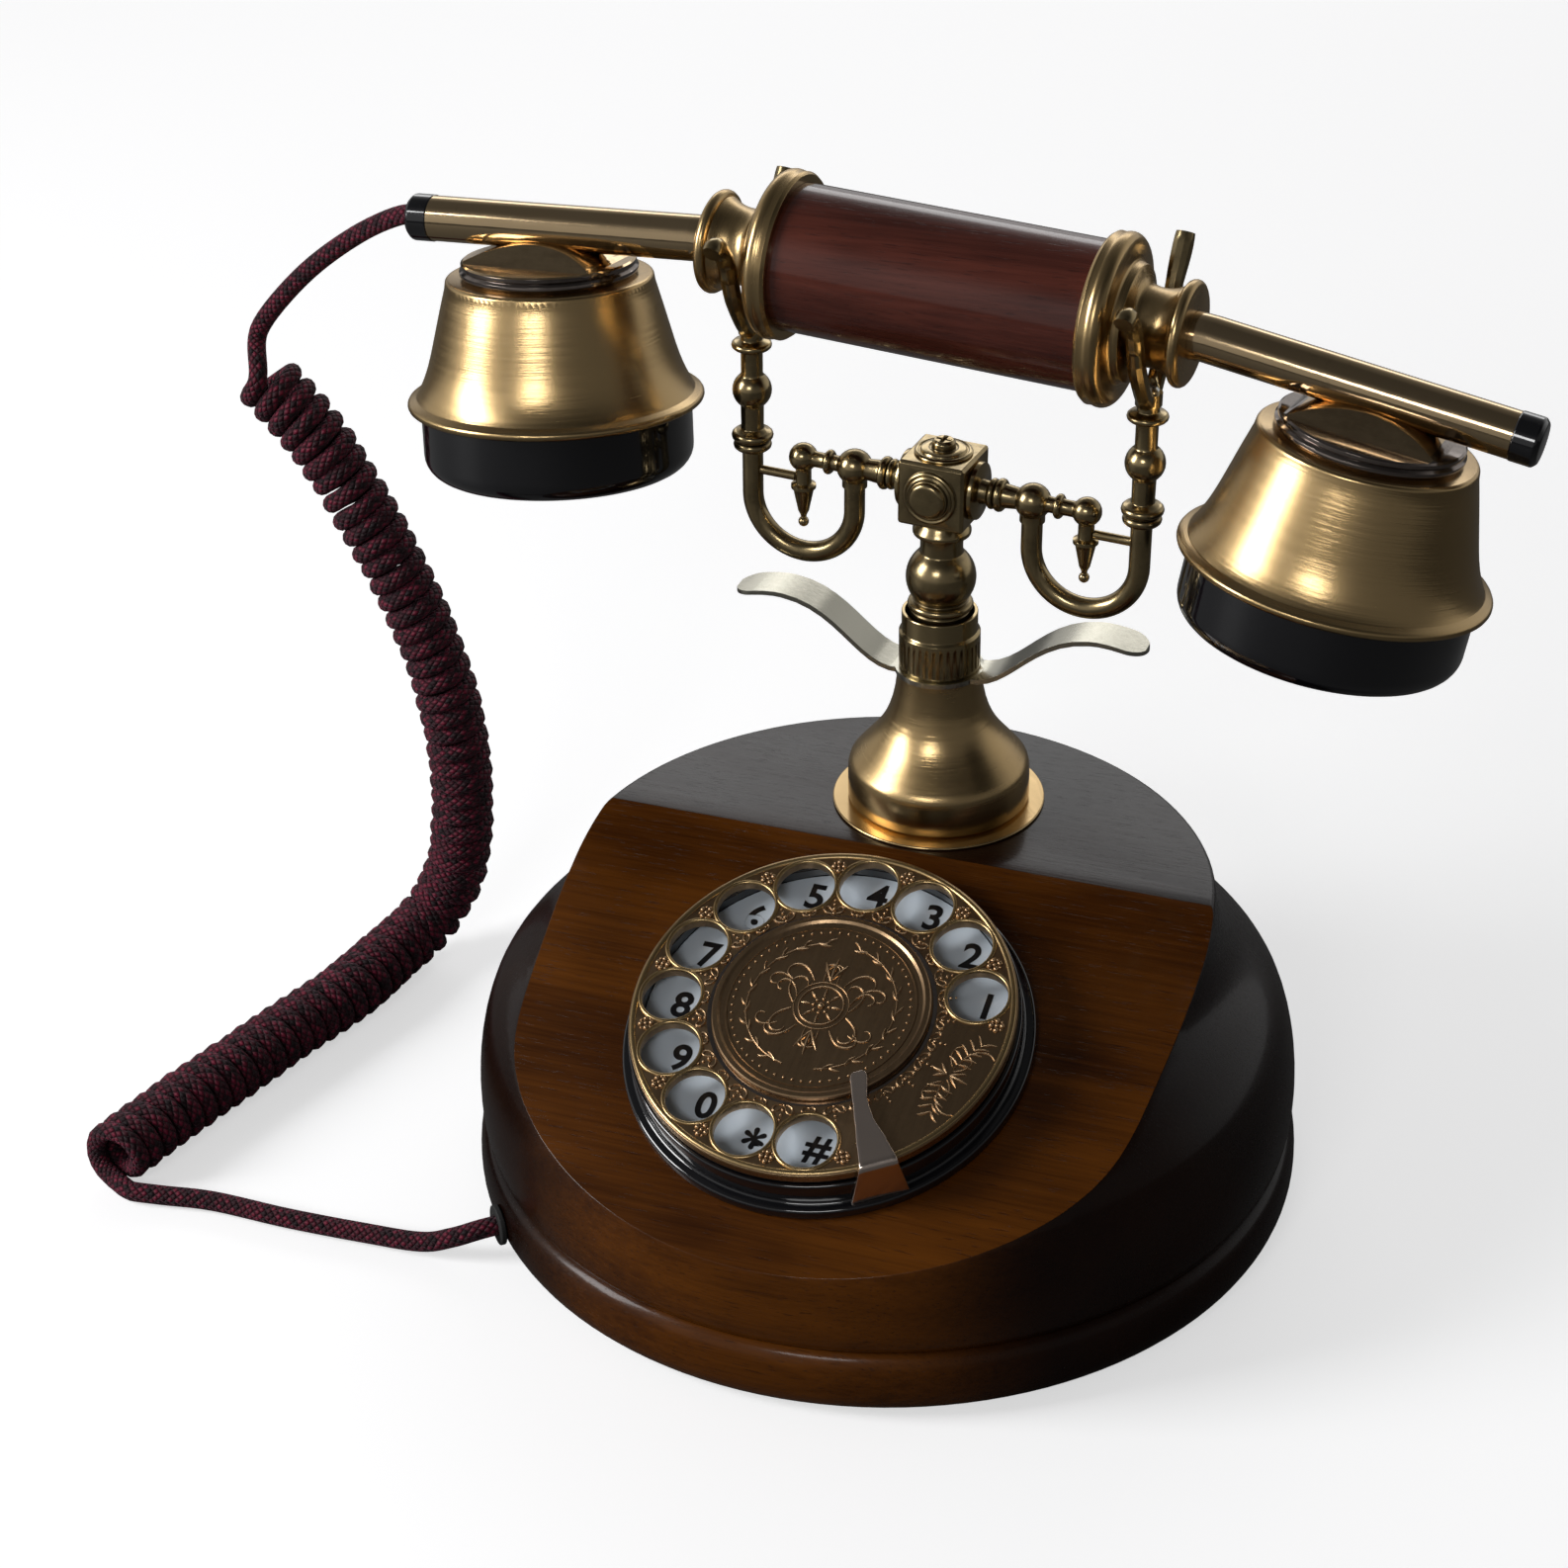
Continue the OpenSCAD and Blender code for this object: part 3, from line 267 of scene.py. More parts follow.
def opaque(colour):
    """A colour value with alpha; a socket is handed on."""
    return colour if isinstance(colour, bpy.types.NodeSocket) else (*colour[:3], 1)


def between(tree, value, low, high, to_low=0.0, to_high=1.0):
    """The value's place between low and high, smoothly clamped."""
    inputs = {0: value, 1: low, 2: high, 3: to_low, 4: to_high}
    return add(tree, "MapRange", inputs, interpolation_type="SMOOTHSTEP").outputs[0]


def stretched(tree, vector, scale):
    """A vector scaled along each axis."""
    return add(tree, "Mapping", {"Vector": vector, "Scale": scale}).outputs[0]


def noise(tree, vector, scale=1.0, detail=3.0, roughness=0.55, distortion=0.0):
    """Noise, about a half on average."""
    inputs = {"Vector": vector, "Scale": scale, "Detail": detail, "Roughness": roughness,
              "Distortion": distortion}
    return add(tree, "TexNoise", inputs).outputs[0]


def new_group(name, inputs, outputs):
    """A shader node group with its sockets, and its input and output nodes."""
    tree = bpy.data.node_groups.new(name, "ShaderNodeTree")
    kinds = {float: "NodeSocketFloat", tuple: "NodeSocketVector", str: "NodeSocketColor"}
    for label, value in inputs.items():
        kind = str if label.startswith("Colour") else type(value)
        socket = tree.interface.new_socket(label, in_out="INPUT", socket_type=kinds[kind])
        socket.default_value = value
    for label in outputs:
        kind = str if label.startswith("Colour") else float
        tree.interface.new_socket(label, in_out="OUTPUT", socket_type=kinds[kind])
    return tree, tree.nodes.new("NodeGroupInput").outputs, tree.nodes.new("NodeGroupOutput").inputs


def put_out(tree, outputs, **sockets):
    """Joins sockets to a group's outputs."""
    for label, socket in sockets.items():
        tree.links.new(socket, outputs[label])


def place_group(tree, name, **inputs):
    """Outputs of a placed group."""
    node = tree.nodes.new("ShaderNodeGroup")
    node.node_tree = bpy.data.node_groups[name]
    for label, value in inputs.items():
        if isinstance(value, bpy.types.NodeSocket):
            tree.links.new(value, node.inputs[label])
        else:
            node.inputs[label].default_value = value
    return node.outputs


def wood_group():
    """Wood figure along the vector's X: broad bands, fine fibres and short dark pores."""
    tree, given, made = new_group(
        "Wood figure", {"Vector": (0.0, 0.0, 0.0), "Colour light": (1, 1, 1, 1), "Colour dark": (0, 0, 0, 1)},
        ["Colour", "Roughness", "Height"])
    vector = given["Vector"]
    bands = noise(tree, stretched(tree, vector, (5, 34, 34)), detail=4, distortion=0.7)
    fibres = noise(tree, stretched(tree, vector, (22, 820, 820)), detail=4, roughness=0.65)
    pores = noise(tree, stretched(tree, vector, (160, 2600, 2600)), detail=1)
    blotch = noise(tree, vector, 21, detail=2)
    figure = calc(tree, "MULTIPLY_ADD", fibres, 0.42, calc(tree, "MULTIPLY", bands, 0.8))
    figure = calc(tree, "MULTIPLY_ADD", blotch, 0.5, figure)
    pore = between(tree, pores, 0.63, 0.72)
    tone = between(tree, figure, 0.52, 1.22)
    tone = calc(tree, "MULTIPLY", tone, calc(tree, "MULTIPLY_ADD", pore, -0.55, 1.0))
    colour = blend_colours(tree, tone, given["Colour dark"], given["Colour light"])
    rough = calc(tree, "MULTIPLY_ADD", blotch, 0.12, calc(tree, "MULTIPLY_ADD", fibres, 0.10, 0.17))
    height = calc(tree, "MULTIPLY_ADD", pore, -0.6, fibres)
    put_out(tree, made, Colour=colour, Roughness=rough, Height=height)


def patina_group():
    """Aged metal: dark in its corners, bright where hands and cloths rub it."""
    tree, given, made = new_group(
        "Patina", {"Vector": (0.0, 0.0, 0.0), "Reach": 0.002, "Streak": 0.5, "Worn": 0.5, "Mottle": 1.0,
                   "Colour bright": (1, 1, 1, 1), "Colour dark": (0, 0, 0, 1)},
        ["Colour", "Roughness"])
    corner = add(tree, "AmbientOcclusion", {"Distance": given["Reach"]}, samples=8, only_local=True)
    edge = add(tree, "AmbientOcclusion", {"Distance": given["Reach"]}, samples=8, only_local=True,
               inside=True)
    open_face = between(tree, corner.outputs["AO"], 0.35, 0.95)
    rubbed = between(tree, edge.outputs["AO"], 0.25, 0.75, 1.0, 0.0)
    cloud = noise(tree, given["Vector"], 60, detail=5, roughness=0.65)
    spots = noise(tree, given["Vector"], 420, detail=3, roughness=0.7)
    mottle = calc(tree, "MULTIPLY_ADD", spots, 0.35, calc(tree, "MULTIPLY", cloud, 0.65))
    mottle = calc(tree, "MULTIPLY_ADD", given["Streak"], 0.3, mottle)
    stains = between(tree, mottle, 0.30, 0.80, 0.30, 1.0)
    stains = calc(tree, "MULTIPLY_ADD", calc(tree, "SUBTRACT", stains, 1.0), given["Mottle"], 1.0)
    tone = calc(tree, "MULTIPLY", open_face, stains)
    tone = calc(tree, "MULTIPLY_ADD", rubbed, given["Worn"], tone, clamp=True)
    colour = blend_colours(tree, tone, given["Colour dark"], given["Colour bright"])
    rough = calc(tree, "MULTIPLY_ADD", tone, -0.22, 0.34)
    put_out(tree, made, Colour=colour, Roughness=rough)


def wear_group():
    """Smudges and fine dust on a smooth surface."""
    tree, given, made = new_group("Handling", {"Vector": (0.0, 0.0, 0.0), "Base": 0.15},
                                  ["Roughness", "Height", "Dust"])
    smudge = noise(tree, given["Vector"], 45, detail=4, roughness=0.6)
    scratches = noise(tree, stretched(tree, given["Vector"], (90, 1500, 700)), detail=2)
    grains = noise(tree, given["Vector"], 1900, detail=1)
    rough = calc(tree, "MULTIPLY_ADD", smudge, 0.14, given["Base"])
    put_out(tree, made, Roughness=rough, Height=scratches, Dust=between(tree, grains, 0.70, 0.80))


def braid_group():
    """Braided yarn on a tube whose UV map runs round it and along it, in turns."""
    tree, given, made = new_group("Braid", {"Vector": (0.0, 0.0, 0.0), "Strands": 8.0}, ["Fleck", "Height"])
    axes = add(tree, "SeparateXYZ", {0: given["Vector"]}).outputs
    left = calc(tree, "MULTIPLY", calc(tree, "ADD", axes[0], axes[1]), given["Strands"])
    right = calc(tree, "MULTIPLY", calc(tree, "SUBTRACT", axes[0], axes[1]), given["Strands"])
    waves = [calc(tree, "ABSOLUTE", calc(tree, "SINE", calc(tree, "MULTIPLY", way, math.pi)))
             for way in (left, right)]
    height = calc(tree, "POWER", calc(tree, "MULTIPLY", *waves), 0.6)
    cell = add(tree, "CombineXYZ", {0: calc(tree, "FLOOR", left), 1: calc(tree, "FLOOR", right)}).outputs[0]
    fleck = add(tree, "TexWhiteNoise", {"Vector": cell}).outputs["Value"]
    put_out(tree, made, Fleck=fleck, Height=height)


def surface(name):
    """A new material, its node tree and its Principled shader."""
    material = bpy.data.materials.new(name)
    material.use_nodes = True
    return material, material.node_tree, material.node_tree.nodes["Principled BSDF"]


def dress(tree, shader, bump=None, depth=0.0001, **inputs):
    """Sets or joins the shader's inputs, and its normal from a height."""
    if bump is not None:
        made = add(tree, "Bump", {"Height": bump, "Distance": depth, "Strength": 1.0})
        tree.links.new(made.outputs[0], shader.inputs["Normal"])
    for label, value in inputs.items():
        socket = shader.inputs[label.replace("_", " ")]
        if isinstance(value, bpy.types.NodeSocket):
            tree.links.new(value, socket)
        else:
            socket.default_value = opaque(value) if hasattr(value, "__len__") else value


def position(tree):
    """Object coordinates."""
    return add(tree, "TexCoord").outputs["Object"]


# ---------------------------------------------------------------------------
# Materials
# ---------------------------------------------------------------------------

def wood(name, light, dark, stain=None, coat=0.22):
    """Satin lacquered wood. The stain darkens the sides of the base, as sprayed on."""
    material, tree, shader = surface(name)
    vector = position(tree)
    made = place_group(tree, "Wood figure", Vector=vector, **{"Colour light": opaque(light),
                                                              "Colour dark": opaque(dark)})
    colour = made["Colour"]
    if stain is not None:
        axes = add(tree, "SeparateXYZ", {0: vector}).outputs
        side = calc(tree, "ABSOLUTE", axes[0])
        patches = noise(tree, vector, 9, detail=2)
        reach = calc(tree, "MULTIPLY_ADD", patches, 0.03, side)
        back = between(tree, axes[1], -0.06, 0.03)
        cover = calc(tree, "MAXIMUM", between(tree, reach, 0.045, 0.085), back)
        cover = calc(tree, "MULTIPLY", cover, 0.93)
        colour = blend_colours(tree, cover, colour, stain)
    dress(tree, shader, bump=made["Height"], depth=0.00004, Base_Color=colour, Roughness=made["Roughness"],
          Specular_IOR_Level=0.15, Coat_Weight=coat, Coat_Roughness=0.12)
    return material


def metal(name, bright, dark, roughness, reach=0.002, worn=0.3, grain=(40, 900, 900), depth=0.00002,
          turned=False, brushed=0.0, mottle=1.0):
    """Aged metal with fine tool marks. Turned pieces carry a UV map that runs round them in turns."""
    material, tree, shader = surface(name)
    vector = position(tree)
    marks = add(tree, "TexCoord").outputs["UV"] if turned else vector
    streak = noise(tree, stretched(tree, marks, grain), detail=4, roughness=0.7)
    made = place_group(tree, "Patina", Vector=vector, Reach=reach, Streak=streak, Worn=worn, Mottle=mottle,
                       **{"Colour bright": opaque(bright), "Colour dark": opaque(dark)})
    rough = calc(tree, "ADD", made["Roughness"], calc(tree, "MULTIPLY_ADD", streak, 0.16, roughness - 0.22))
    dress(tree, shader, bump=streak, depth=depth, Base_Color=made["Colour"], Roughness=rough, Metallic=1.0,
          Anisotropic=brushed)
    if brushed:
        tangent = add(tree, "Tangent", direction_type="UV_MAP", uv_map="UVMap")
        tree.links.new(tangent.outputs[0], shader.inputs["Tangent"])
    return material


def plastic(name, colour, roughness, coat=0.0, dust=0.0, depth=0.00001):
    """Moulded plastic, rubber or enamel with smudges and a little dust."""
    material, tree, shader = surface(name)
    made = place_group(tree, "Handling", Vector=position(tree), Base=roughness)
    tint = blend_colours(tree, calc(tree, "MULTIPLY", made["Dust"], dust), colour, (0.35, 0.34, 0.33))
    dress(tree, shader, bump=made["Height"], depth=depth, Base_Color=tint, Roughness=made["Roughness"],
          Coat_Weight=coat, Coat_Roughness=0.04)
    return material


def braid(name, yarn, dark):
    """Braided cloth cover of the cord. Its colour goes dark in the grooves between the strands as painted
    shade, and in the darker flecks of yarn.
    """
    material, tree, shader = surface(name)
    marks = add(tree, "TexCoord").outputs["UV"]
    made = place_group(tree, "Braid", Vector=marks, Strands=8.0)
    fuzz = noise(tree, position(tree), 2600, detail=2)
    tone = calc(tree, "MULTIPLY_ADD", made["Fleck"], 0.75, calc(tree, "MULTIPLY", fuzz, 0.35))
    # Painted shade: the strands' height darkens the colour towards the dark yarn in the grooves between them.
    tone = calc(tree, "MULTIPLY", between(tree, tone, 0.2, 0.95), made["Height"])
    colour = blend_colours(tree, tone, dark, yarn)
    rough = calc(tree, "MULTIPLY_ADD", made["Fleck"], -0.12, 0.72)
    dress(tree, shader, bump=made["Height"], depth=0.0005, Base_Color=colour, Roughness=rough,
          Specular_IOR_Level=0.35, Sheen_Weight=0.25, Sheen_Roughness=0.4)
    shader.inputs["Sheen Tint"].default_value = (0.6, 0.25, 0.35, 1)
    return material


def make_materials():
    """Every finish, by name."""
    scene = bpy.context.scene
    for build in (wood_group, patina_group, wear_group, braid_group):
        build()
    w, d, b, c = scene.wood, scene.dial, scene.brass, scene.cord
    return {
        "wood_slope": wood("wood_slope", w.light, w.dark),
        "wood_base": wood("wood_base", w.light, w.dark, w.stain),
        "wood_grip": wood("wood_grip", (0.150, 0.036, 0.022), (0.030, 0.0060, 0.0040), coat=0.9),
        "turned_brass": metal("turned_brass", b.bright, b.dull, 0.26, reach=0.003, worn=0.25,
                              grain=(5, 900, 1), turned=True, brushed=0.6, depth=0.00004, mottle=0.35),
        "antique_brass": metal("antique_brass", b.antique, b.patina, 0.20, reach=0.0022, worn=0.45,
                               grain=(300, 300, 300)),
        "dial_brass": metal("dial_brass", d.bronze, d.patina, 0.30, reach=0.0010, worn=0.5,
                            grain=(900, 60, 60)),
        "relief": metal("relief", [x * 1.35 for x in d.bronze], d.patina, 0.30, reach=0.0006, worn=0.5,
                        grain=(500, 500, 500), mottle=0.3),
        "dial_side": metal("dial_side", b.bright, b.dull, 0.28, turned=True, grain=(6, 900, 1),
                           depth=0.00004),
        "gear_brass": metal("gear_brass", (0.72, 0.55, 0.26), (0.3, 0.2, 0.08), 0.25),
        "finger_stop": metal("finger_stop", (0.86, 0.72, 0.63), (0.66, 0.52, 0.45), 0.20, worn=0.1,
                             mottle=0.2, grain=(20, 200, 200), depth=0.000002),
        "steel": metal("steel", (0.62, 0.61, 0.58), (0.30, 0.29, 0.27), 0.26),
        "wing_steel": metal("wing_steel", (0.50, 0.48, 0.40), (0.17, 0.16, 0.12), 0.24, reach=0.004,
                            worn=0.6, grain=(700, 700, 700)),
        "nickel": metal("nickel", (0.33, 0.28, 0.25), (0.07, 0.055, 0.05), 0.10, worn=0.3, depth=0.000004),
        "saddle_brass": metal("saddle_brass", (0.62, 0.46, 0.27), (0.22, 0.15, 0.08), 0.13, worn=0.3,
                              grain=(60, 500, 500), depth=0.00001),
        "capsule": metal("capsule", (0.66, 0.66, 0.67), (0.4, 0.4, 0.4), 0.3),
        "gloss_black": plastic("gloss_black", (0.0035, 0.0035, 0.005), 0.04, coat=1.0, dust=0.04),
        "black": plastic("black", (0.012, 0.012, 0.014), 0.28, dust=0.06),
        "rubber": plastic("rubber", (0.02, 0.02, 0.02), 0.7, dust=0.2, depth=0.00004),
        "plate_paint": plastic("plate_paint", (0.03, 0.03, 0.032), 0.35, dust=0.1, depth=0.00005),
        "board": plastic("board", (0.02, 0.13, 0.06), 0.4, dust=0.1),
        "number_plate": plastic("number_plate", (0.80, 0.90, 1.0), 0.18, coat=0.3, dust=0.04),
        "ink": plastic("ink", (0.006, 0.006, 0.008), 0.3),
        "cord": braid("cord", c.yarn, c.dark_yarn_and_strand_shade),
    }


# ---------------------------------------------------------------------------
# Meshes
# ---------------------------------------------------------------------------

MATERIALS = {}
STROKE_RADIUS = 0.62        # of an ornament's stroke, as a share of its width


def soften(piece, width, limit, segments=2):
    """Rounds the edges sharper than the limit, in degrees, by a width in millimetres."""
    edge = piece.modifiers.new("Edges", "BEVEL")
    edge.width = width * MM
    edge.segments = segments
    edge.limit_method = "ANGLE"
    edge.angle_limit = math.radians(limit)


def finished(name, bm, material, body=None, replaces=(), bevel=0.0, limit=32, smooth=35):
    """The piece made from a bmesh: shaded by angle, with its finish and body."""
    mesh = bpy.data.meshes.new(name)
    bmesh.ops.recalc_face_normals(bm, faces=bm.faces)
    bm.to_mesh(mesh)
    bm.free()
    mesh.shade_smooth()
    mesh.set_sharp_from_angle(angle=math.radians(smooth))
    piece = bpy.data.objects.new(name, mesh)
    bpy.context.scene.collection.objects.link(piece)
    for finish in [material] if isinstance(material, str) else material:
        mesh.materials.append(MATERIALS[finish])
    if bevel:
        soften(piece, bevel, limit)
    if replaces:
        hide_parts(*replaces)
    if body:
        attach(piece, body)
    return piece


def turned_uv(bm, place):
    """A UV map that runs round the place's Z axis in turns and along the surface in metres."""
    layer = bm.loops.layers.uv.new("UVMap")
    back = place.inverted()
    for face in bm.faces:
        spots = [back @ loop.vert.co for loop in face.loops]
        turns = [math.atan2(p.y, p.x) / TURN for p in spots]
        if max(turns) - min(turns) > 0.5:
            turns = [t + 1 if t < 0 else t for t in turns]
        for loop, spot, turn in zip(face.loops, spots, turns):
            loop[layer].uv = (turn, spot.z - math.hypot(spot.x, spot.y))


def refined(node, material, about=None, bevel=0.0, limit=32, paint=None):
    """A merged copy of a CAD node with softened edges, which stands for it."""
    part = frame["nodes"][node]
    bm = bmesh.new()
    bm.from_mesh(part.data)
    bm.transform(part.matrix_world)
    bmesh.ops.remove_doubles(bm, verts=bm.verts, dist=2e-6)
    bmesh.ops.dissolve_limit(bm, angle_limit=math.radians(0.4), verts=bm.verts, edges=bm.edges,
                             delimit={"NORMAL"})
    if about is not None:
        turned_uv(bm, about)
    if paint:
        paint(bm)
    body = body_of(part)
    body = body if isinstance(body, str) else body[0]
    return finished(node + "_finish", bm, material, body, [node], bevel, limit)


def lathe(outline, place, steps=96):
    """A bmesh turned about the place's Z axis from (radius, height) points in millimetres."""
    bm = bmesh.new()
    verts = [bm.verts.new((r * MM, 0, z * MM)) for r, z in outline]
    edges = [bm.edges.new(pair) for pair in zip(verts, verts[1:])]
    bmesh.ops.spin(bm, geom=verts + edges, axis=(0, 0, 1), cent=(0, 0, 0), angle=TURN, steps=steps,
                   use_merge=True)
    bmesh.ops.remove_doubles(bm, verts=bm.verts, dist=1e-6)
    bm.transform(place)
    return bm


def drawn(name, strokes, place, lift):
    """Raised ornament on the dial: each stroke is a list of (x, y, width) in millimetres."""
    curve = bpy.data.curves.new(name, "CURVE")
    curve.dimensions = "3D"
    curve.bevel_depth = MM
    curve.bevel_resolution = 2
    curve.use_fill_caps = True
    for stroke in strokes:
        spline = curve.splines.new("POLY")
        spline.points.add(len(stroke) - 1)
        for point, (x, y, width) in zip(spline.points, stroke):
            point.co = (x * MM, y * MM, lift * MM, 1)
            point.radius = width * STROKE_RADIUS
    solid_from(name, curve, place, "relief")


def mesh_of(curve):
    """The mesh of a curve or text, which is then removed."""
    source = bpy.data.objects.new(curve.name, curve)
    bpy.context.scene.collection.objects.link(source)
    bpy.context.view_layer.update()
    mesh = bpy.data.meshes.new_from_object(source.evaluated_get(bpy.context.evaluated_depsgraph_get()))
    bpy.data.objects.remove(source)
    bpy.data.curves.remove(curve)
    return mesh


def take_in(whole, mesh):
    """Adds a mesh to a bmesh and removes it."""
    whole.from_mesh(mesh)
    bpy.data.meshes.remove(mesh)


def solid_from(name, curve, place, material):
    """A piece of the dial made from a curve, put in its place."""
    bm = bmesh.new()
    take_in(bm, mesh_of(curve))
    bmesh.ops.remove_doubles(bm, verts=bm.verts, dist=1e-7)
    bm.transform(place)
    return finished(name, bm, material, "dial")


def beads(name, spots, place, lift):
    """Small beads on the dial at (x, y, radius) in millimetres."""
    bm = bmesh.new()
    for x, y, radius in spots:
        spot = Matrix.Translation((x * MM, y * MM, lift * MM))
        bmesh.ops.create_icosphere(bm, subdivisions=1, radius=radius * MM, matrix=spot)
    bm.transform(place)
    finished(name, bm, "relief", "dial", smooth=80)


def flat_plate(name, outer, holes, thick, bevel, place, material):
    """A plate with round holes, its lower face on the place's plane. Circles are (x, y, radius) in mm."""
    curve = bpy.data.curves.new(name, "CURVE")
    curve.dimensions = "2D"
    curve.fill_mode = "BOTH"
    curve.extrude = (thick / 2 - bevel) * MM
    curve.bevel_depth = bevel * MM
    curve.bevel_resolution = 2
    curve.offset = -bevel * MM
    for number, (x, y, radius) in enumerate([outer] + holes):
        steps = 160 if number == 0 else 64
        spline = curve.splines.new("POLY")
        spline.points.add(steps - 1)
        spline.use_cyclic_u = True
        for step, point in enumerate(spline.points):
            dx, dy = polar(radius, TURN * step / steps)
            point.co = ((x + dx) * MM, (y + dy) * MM, 0, 1)
    return solid_from(name, curve, place @ Matrix.Translation((0, 0, thick / 2 * MM)), material)


def ring(radius, thick, height, base):
    """Outline of a half-round ring that stands on a plane at the base's height."""
    return [(radius + thick / 2 * math.cos(a), base + height * math.sin(a))
            for a in [math.pi * i / 8 for i in range(9)]]


def polar(radius, turn):
    """x and y at a radius and angle."""
    return radius * math.cos(turn), radius * math.sin(turn)


def scroll(start, heading, length, curl, width):
    """A tapering stroke whose heading turns ever faster, in millimetres and radians."""
    steps = 18
    x, y = start
    stroke = []
    for step in range(steps + 1):
        t = step / steps
        stroke.append((x, y, width * (0.35 + 0.65 * math.sin(math.pi * min(1, t * 0.8 + 0.12)))))
        way = heading + curl * t ** 2
        x += length / steps * math.cos(way)
        y += length / steps * math.sin(way)
    return stroke


def leaf(start, heading, length, width, bend):
    """A short swelling stroke."""
    steps = 6
    x, y = start
    stroke = []
    for step in range(steps + 1):
        t = step / steps
        stroke.append((x, y, width * (0.15 + math.sin(math.pi * (0.12 + 0.86 * t)))))
        way = heading + bend * t
        x += length / steps * math.cos(way)
        y += length / steps * math.sin(way)
    return stroke


def mirrored(strokes):
    """The strokes and their mirror images across the Y axis."""
    return strokes + [[(-x, y, r) for x, y, r in stroke] for stroke in strokes]


def moved(strokes, place):
    """Strokes carried by a flat 4x4, in millimetres."""
    out = []
    for stroke in strokes:
        spots = [place @ Vector((x, y, 0)) for x, y, _ in stroke]
        out.append([(spot.x, spot.y, r) for spot, (_, _, r) in zip(spots, stroke)])
    return out


# ---------------------------------------------------------------------------
# Operators
# ---------------------------------------------------------------------------

FLOOR_HALF = 4        # metres
FLOOR_DROP = 0.00005        # keeps the floor just under the feet
LAMPS = {"window": (12, (0.5, 0.7), (-1.15, -0.62, 0.72)),       # watts, sides and place in metres
         "strip": (3.5, (0.5, 0.25), (0.0, -1.45, 0.95)),
         "back": (2.6, (1.3, 0.4), (-0.35, 1.35, 0.8))}


class TELEPHONE_OT_stage(bpy.types.Operator):
    """Adds the floor, the light and the camera"""
    bl_idname = "telephone.stage"
    bl_label = "Stage"

    def execute(self, context):
        settings = context.scene.stage
        context.scene.view_settings.view_transform = "Standard"
        bm = bmesh.new()
        bmesh.ops.create_grid(bm, x_segments=1, y_segments=1, size=FLOOR_HALF)
        mesh = bpy.data.meshes.new("floor")
        bm.to_mesh(mesh)
        bm.free()
        floor = bpy.data.objects.new("floor", mesh)
        context.scene.collection.objects.link(floor)
        floor.location.z = -FLOOR_DROP
        material, tree, shader = surface("floor")
        camera = add(tree, "LightPath").outputs["Is Camera Ray"]
        tint = blend_colours(tree, camera, (0.13, 0.13, 0.13), settings.floor)
        dress(tree, shader, Base_Color=tint, Roughness=0.6, Specular_IOR_Level=0.1)
        tree.links.new(calc(tree, "MULTIPLY", camera, settings.glow), shader.inputs["Emission Strength"])
        shader.inputs["Emission Color"].default_value = (1, 1, 1, 1)
        mesh.materials.append(material)
        for name, (power, sides, place) in LAMPS.items():
            self.light(context, name, power, sides, place)
        self.surroundings(context)
        self.camera(context, settings)
        return {"FINISHED"}

    def light(self, context, name, power, sides, place):
        """A soft box that looks at the object."""
        data = bpy.data.lights.new(name, "AREA")
        data.energy = power
        data.shape = "RECTANGLE"
        data.size, data.size_y = sides
        lamp = bpy.data.objects.new(name, data)
        context.scene.collection.objects.link(lamp)
        lamp.location = place
        aim = Vector((0, 0, 0.1)) - Vector(place)
        lamp.rotation_euler = aim.to_track_quat("-Z", "Y").to_euler()

    def surroundings(self, context):
        """A studio: white for the camera, graded grey walls for what the object mirrors."""
        world = bpy.data.worlds.new("Studio")
        context.scene.world = world
        world.use_nodes = True
        tree = world.node_tree
        tree.nodes.clear()
        way = add(tree, "TexCoord").outputs["Generated"]
        axes = add(tree, "SeparateXYZ", {0: way}).outputs
        ceiling = between(tree, axes[2], 0.35, 0.8, 1.0, 0.22)
        side = between(tree, axes[0], -0.8, 0.6, 0.42, 0.13)
        back = between(tree, axes[1], -0.2, 0.8, 0.0, 0.55)
        grey = calc(tree, "MULTIPLY", ceiling, calc(tree, "MAXIMUM", side, back))
        room = add(tree, "Background", {0: (1, 1, 1, 1), 1: grey}).outputs[0]
        seen = add(tree, "Background", {0: (0.97, 0.97, 0.97, 1), 1: 1.0}).outputs[0]
        camera = add(tree, "LightPath").outputs["Is Camera Ray"]
        mixed = add(tree, "MixShader", {0: camera, 1: room, 2: seen}).outputs[0]
        add(tree, "OutputWorld", {0: mixed})

    def camera(self, context, settings):
        """The camera, from its angles, distance, lens and shift."""
        data = bpy.data.cameras.new("camera")
        data.lens = settings.lens
        data.sensor_width = 36
        data.shift_x, data.shift_y = settings.shift
        data.clip_start = 0.02
        data.clip_end = 20
        camera = bpy.data.objects.new("camera", data)
        context.scene.collection.objects.link(camera)
        a, e = settings.azimuth, settings.elevation
        back = Vector((math.sin(a) * math.cos(e), -math.cos(a) * math.cos(e), math.sin(e)))
        right = Vector((math.cos(a), math.sin(a), 0))
        aim = Matrix((right, back.cross(right), back)).transposed().to_4x4()
        spot = (Vector(settings.target) + back * settings.distance) * MM
        camera.matrix_world = Matrix.Translation(spot) @ aim @ Matrix.Rotation(settings.roll, 4, "Z")
        context.scene.camera = camera


